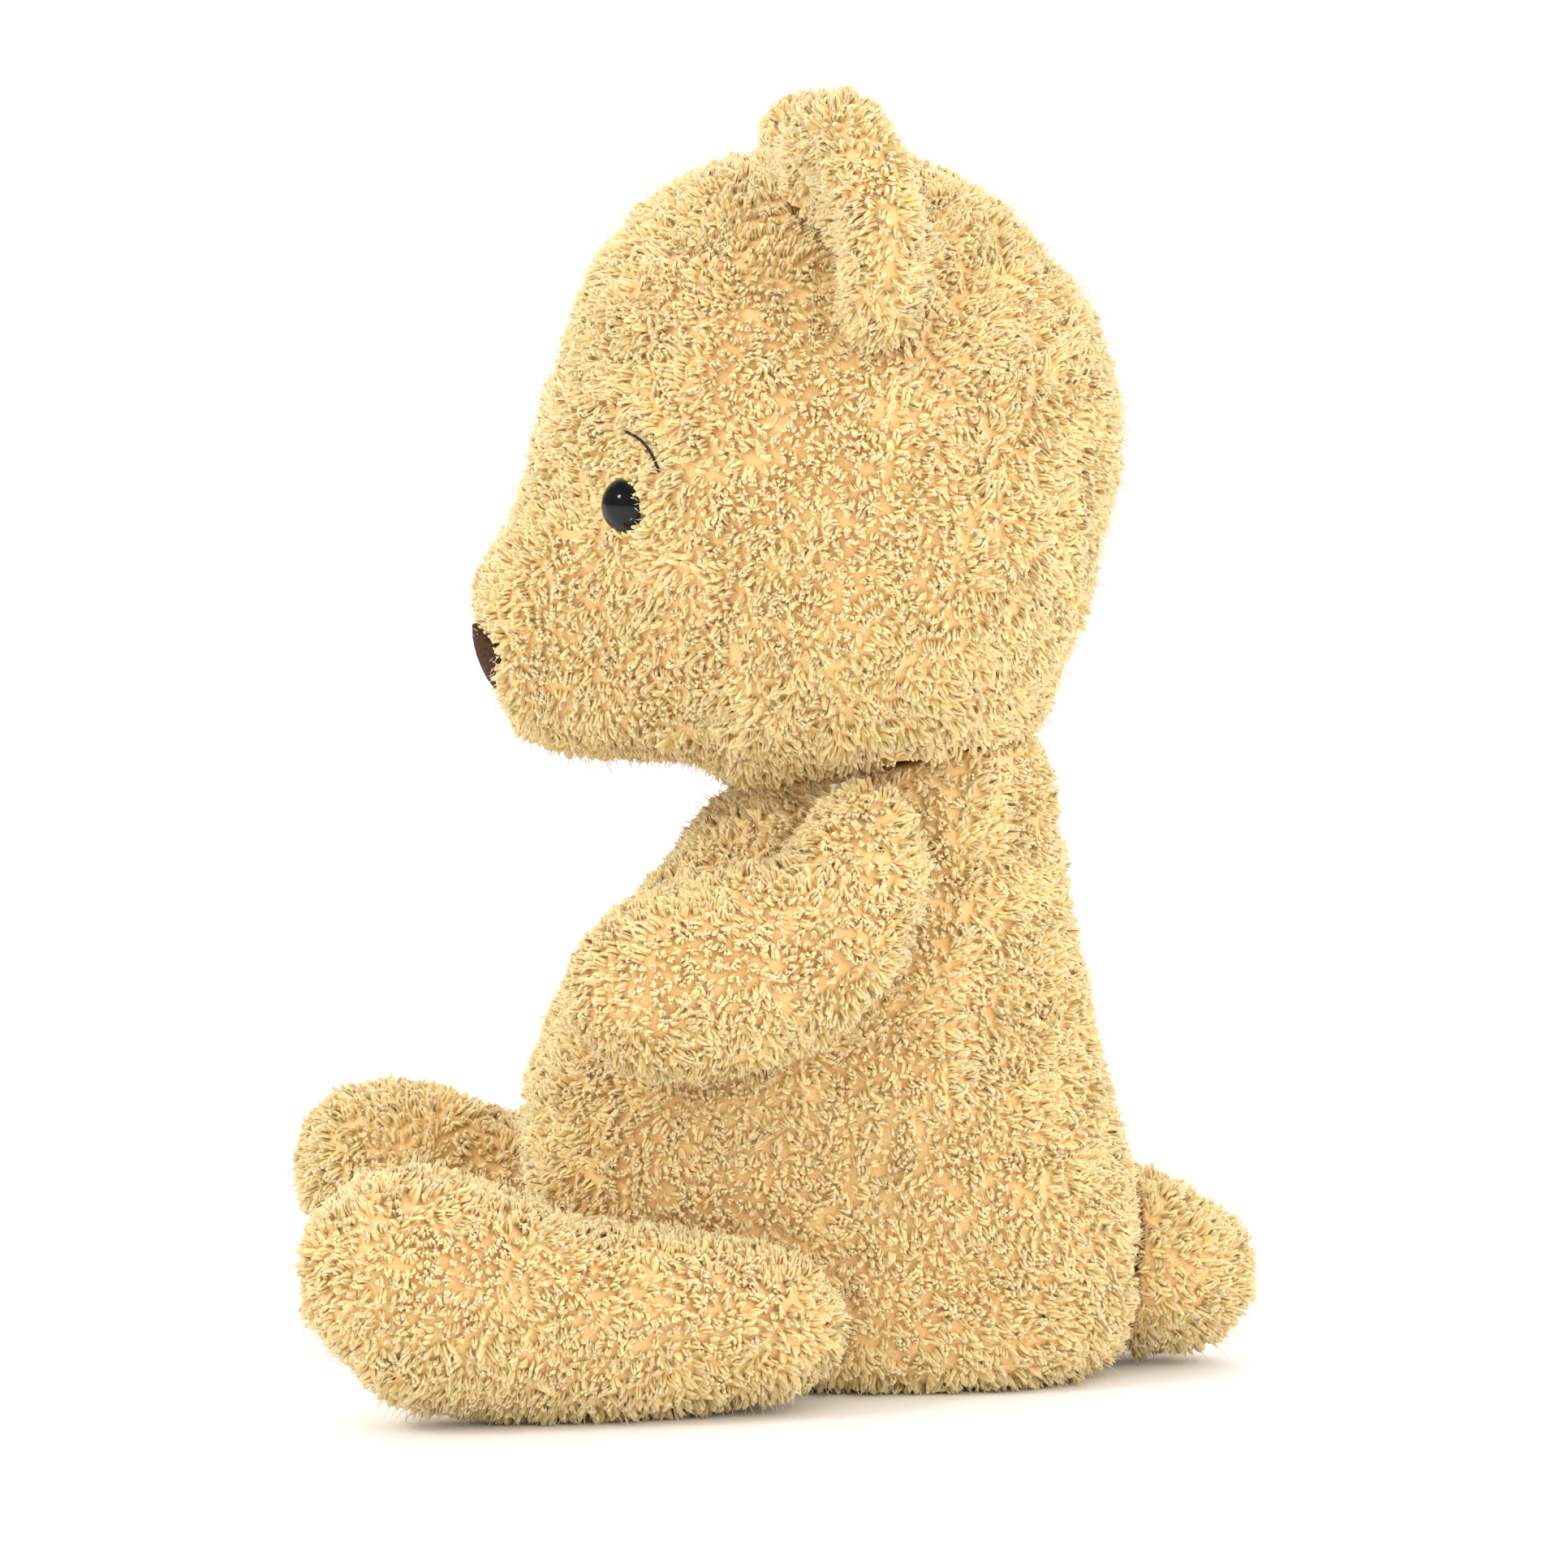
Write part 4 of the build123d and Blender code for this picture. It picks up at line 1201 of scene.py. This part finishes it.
def tube(path, radius, sides=8):
    """A round thread along path, thinner at both ends."""
    points = []
    last = len(path) - 1
    for i, centre in enumerate(path):
        along = unit(path[min(last, i + 1)] - path[max(0, i - 1)])
        u = unit(np.cross(along, np.array([0, 0, 1.0])))
        w = np.cross(along, u)
        taper = min(1.0, 0.35 + 0.65 * min(i, last - i) / 3)
        points += ring(centre, u, w, radius * taper, sides)
    faces = ring_quads(len(path), sides)
    faces.append(tuple(range(sides))[::-1])
    faces.append(tuple(last * sides + k for k in range(sides)))
    return points, faces


# --------------------------------------------------------------------- eyes
EYE_RADIUS = 5.1 * MM
EYE_HEIGHT = 4.0 * MM         # from the flat back to the top of the dome
EYE_RIM = 0.7 * MM            # height of the rim under the dome
DOME_STEPS = 20
# Grooved stem and flat back: radius, height in mm.
EYE_BACK = [
    (0.0, -9.4), (1.45, -9.4), (1.7, -9.0), (1.7, -7.4), (1.45, -7.2), (1.7, -6.9),
    (1.7, -6.2), (1.45, -6.0), (1.7, -5.7), (1.7, 0.0), (4.6, 0.0), (4.95, 0.12),
]


def eye_profile():
    cap = EYE_HEIGHT - EYE_RIM
    sphere = (EYE_RADIUS * EYE_RADIUS + cap * cap) / (2 * cap)
    profile = [(radius * MM, height * MM) for radius, height in EYE_BACK]
    profile += [(EYE_RADIUS, 0.35 * MM), (EYE_RADIUS, EYE_RIM * 0.8)]
    widest = math.asin(EYE_RADIUS / sphere)
    for k in range(1, DOME_STEPS + 1):
        a = widest * (1 - k / DOME_STEPS)
        profile.append((sphere * math.sin(a), EYE_RIM + cap - sphere + sphere * math.cos(a)))
    return profile


def make_eye(side):
    tip, _, outward = EYES[side]
    mesh = lathe(eye_profile(), outward, tip - outward * EYE_HEIGHT)
    dress(new_object("eye_bead_" + side, mesh), EYE, "head", "eye_black", "eye_" + side)


for side in SIDES:
    make_eye(side)


# --------------------------------------------------------------------- nose
NOSE_VOXEL = 0.45 * MM
NOSE_PADDING = 0.5 * MM       # extra fullness in the middle
NOSE_GRAIN = 0.05 * MM
NOSE_SINK = 2.3 * MM          # the patch sits back, down in the pile


def make_nose():
    """A padded suede patch, fuller in the middle."""
    ob = even_surface("nose_suede_patch", ["nose_patch"], NOSE_VOXEL, soft=6)
    points, normals = mesh_coords(ob.data), mesh_normals(ob.data)
    half = (NOSE_HI - NOSE_LO) / 2
    # 0 at the middle of the patch, 1 at its edge
    out = np.sqrt(((points[:, 0] - NOSE_MID[0]) / half[0]) ** 2
                  + ((points[:, 2] - NOSE_MID[2]) / half[2]) ** 2)
    front = np.clip(-normals[:, 1] * 1.4, 0, 1)
    padding = front * (NOSE_PADDING * np.clip(1 - out ** 2, 0, 1))
    points = points + normals * padding[:, None]
    grain = wave_height(points, 71, 0.9 * MM, 2.2 * MM, count=40)
    points = points + normals * (NOSE_GRAIN * grain)[:, None]
    set_coords(ob.data, points + np.array([0.0, NOSE_SINK, 0.0]))
    set_smooth(ob.data)
    dress(ob, SUEDE, "head", "nose_suede", "nose_patch")


make_nose()


# -------------------------------------------------------------------- brows
PLIES = 3
PLY_TURNS = 7
PLY_OFFSET = 0.15 * MM        # from the middle of the thread
PLY_RADIUS = 0.17 * MM
BROW_STATIONS = 9
BROW_STEPS = 60
BROW_LIFT = (1.3, -0.5)       # mm outward at the inner and the outer end


def brow_path(side, outward):
    """The smoothed centre line of the CAD stitch, from its inner to its outer end."""
    points = mesh_coords(NODES["brow_stitch_" + side].data)
    key = points[:, 0] * SIDES[side] * 0.8 - points[:, 2] * 0.6
    parts = np.array_split(np.argsort(key), BROW_STATIONS)
    line = np.array([points[part].mean(0) for part in parts])
    at = np.linspace(0, len(line) - 1, BROW_STEPS)
    path = np.stack([np.interp(at, np.arange(len(line)), line[:, k]) for k in range(3)],
                    axis=1)
    for _ in range(6):
        path[1:-1] = (path[:-2] + path[1:-1] * 2 + path[2:]) / 4
    return path + outward * (np.linspace(*BROW_LIFT, len(path)) * MM)[:, None]


def make_brow(side):
    """A thread of twisted plies."""
    outward = unit(mirrored((0.62, -0.78, 0.1), side))
    path = brow_path(side, outward)
    along = unit(np.gradient(path, axis=0))
    u = unit(np.cross(along, outward))
    w = np.cross(along, u)
    points, faces = [], []
    for ply in range(PLIES):
        turn = np.linspace(0, 2 * math.pi * PLY_TURNS, len(path)) + ply * 2 * math.pi / PLIES
        strand = path + (u * np.cos(turn)[:, None] + w * np.sin(turn)[:, None]) * PLY_OFFSET
        ply_points, ply_faces = tube(strand, PLY_RADIUS)
        first = len(points)
        points += ply_points
        faces += [tuple(i + first for i in face) for face in ply_faces]
    name = "brow_thread_" + side
    mesh = face_mesh(name, points, faces)
    set_smooth(mesh)
    dress(new_object(name, mesh), THREAD, "head", "brow_thread", "brow_stitch_" + side)


for side in SIDES:
    make_brow(side)


# -------------------------------------------------------------------- studio
FLOOR_HALF = 40.0
SKY_DIFFUSE = 1.31            # world strength for all but mirror rays
SKY_MIRRORED = 0.25           # world strength where it is mirrored


def make_floor():
    s = FLOOR_HALF
    corners = [(-s, -s, 0), (s, -s, 0), (s, s, 0), (-s, s, 0)]
    ob = new_object("studio_floor", face_mesh("studio_floor", corners, [(0, 1, 2, 3)]))
    ob.data.materials.append(textured_material(
        "studio_paper",
        stops=[(0.3, (0.93, 0.925, 0.915)), (0.7, (0.95, 0.945, 0.935))],
        texture=dict(Scale=14.0, Detail=3.0), roughness=0.9))


def area_light(name, place, size, power, aim=(0, 0, 0.10), color=(1, 1, 1)):
    light = bpy.data.lights.new(name, "AREA")
    light.shape = "DISK"
    light.size = size
    light.energy = power
    light.color = color
    ob = new_object(name, light)
    ob.location = place
    ob.rotation_euler = (Vector(aim) - Vector(place)).to_track_quat("-Z", "Y").to_euler()


def make_lights():
    warm = (1.0, 0.99, 0.97)
    area_light("key_softbox", (0.60, -0.95, 0.85), size=0.26, power=4.0,
               aim=(0, -0.02, 0.10), color=warm)
    area_light("fill_softbox", (0.9, 0.95, 0.55), size=0.9, power=5.0, color=warm)
    area_light("far_softbox", (-0.9, 0.0, 0.9), size=0.9, power=5.0)


def make_world(scene):
    world = bpy.data.worlds.new("studio")
    scene.world = world
    world.use_nodes = True
    tree = world.node_tree
    background = tree.nodes["Background"]
    background.inputs["Color"].default_value = (1, 1, 1, 1)
    glossy = tree.nodes.new("ShaderNodeLightPath").outputs["Is Glossy Ray"]
    strength = scaled(tree, glossy, gain=SKY_MIRRORED - SKY_DIFFUSE, offset=SKY_DIFFUSE)
    tree.links.new(strength, background.inputs["Strength"])


# The camera looks at the bear's left side, from slightly above and in front.
CAMERA_ELEVATION = math.radians(5.0)
CAMERA_AZIMUTH = math.radians(86.0)        # from -Y towards +X
CAMERA_DISTANCE = 1.4
CAMERA_AIM = mm((0.0, -20.8, 112.2))
VIEW_WIDTH = 299.46 * MM                   # width of the view at the aim point
SENSOR_WIDTH = 36.0                        # mm, as is the lens


def make_camera(scene):
    level = math.cos(CAMERA_ELEVATION)
    back = np.array([math.sin(CAMERA_AZIMUTH) * level, -math.cos(CAMERA_AZIMUTH) * level,
                     math.sin(CAMERA_ELEVATION)])
    data = bpy.data.cameras.new("camera")
    data.sensor_width = SENSOR_WIDTH
    data.lens = SENSOR_WIDTH * CAMERA_DISTANCE / VIEW_WIDTH
    data.clip_start = 0.05
    data.clip_end = 50.0
    camera = new_object("camera", data)
    camera.location = CAMERA_AIM + back * CAMERA_DISTANCE
    camera.rotation_euler = Vector(-back).to_track_quat("-Z", "Y").to_euler()
    scene.camera = camera


scene = bpy.context.scene
make_floor()
make_lights()
make_world(scene)
scene.view_settings.view_transform = "Standard"
scene.view_settings.look = "None"
make_camera(scene)
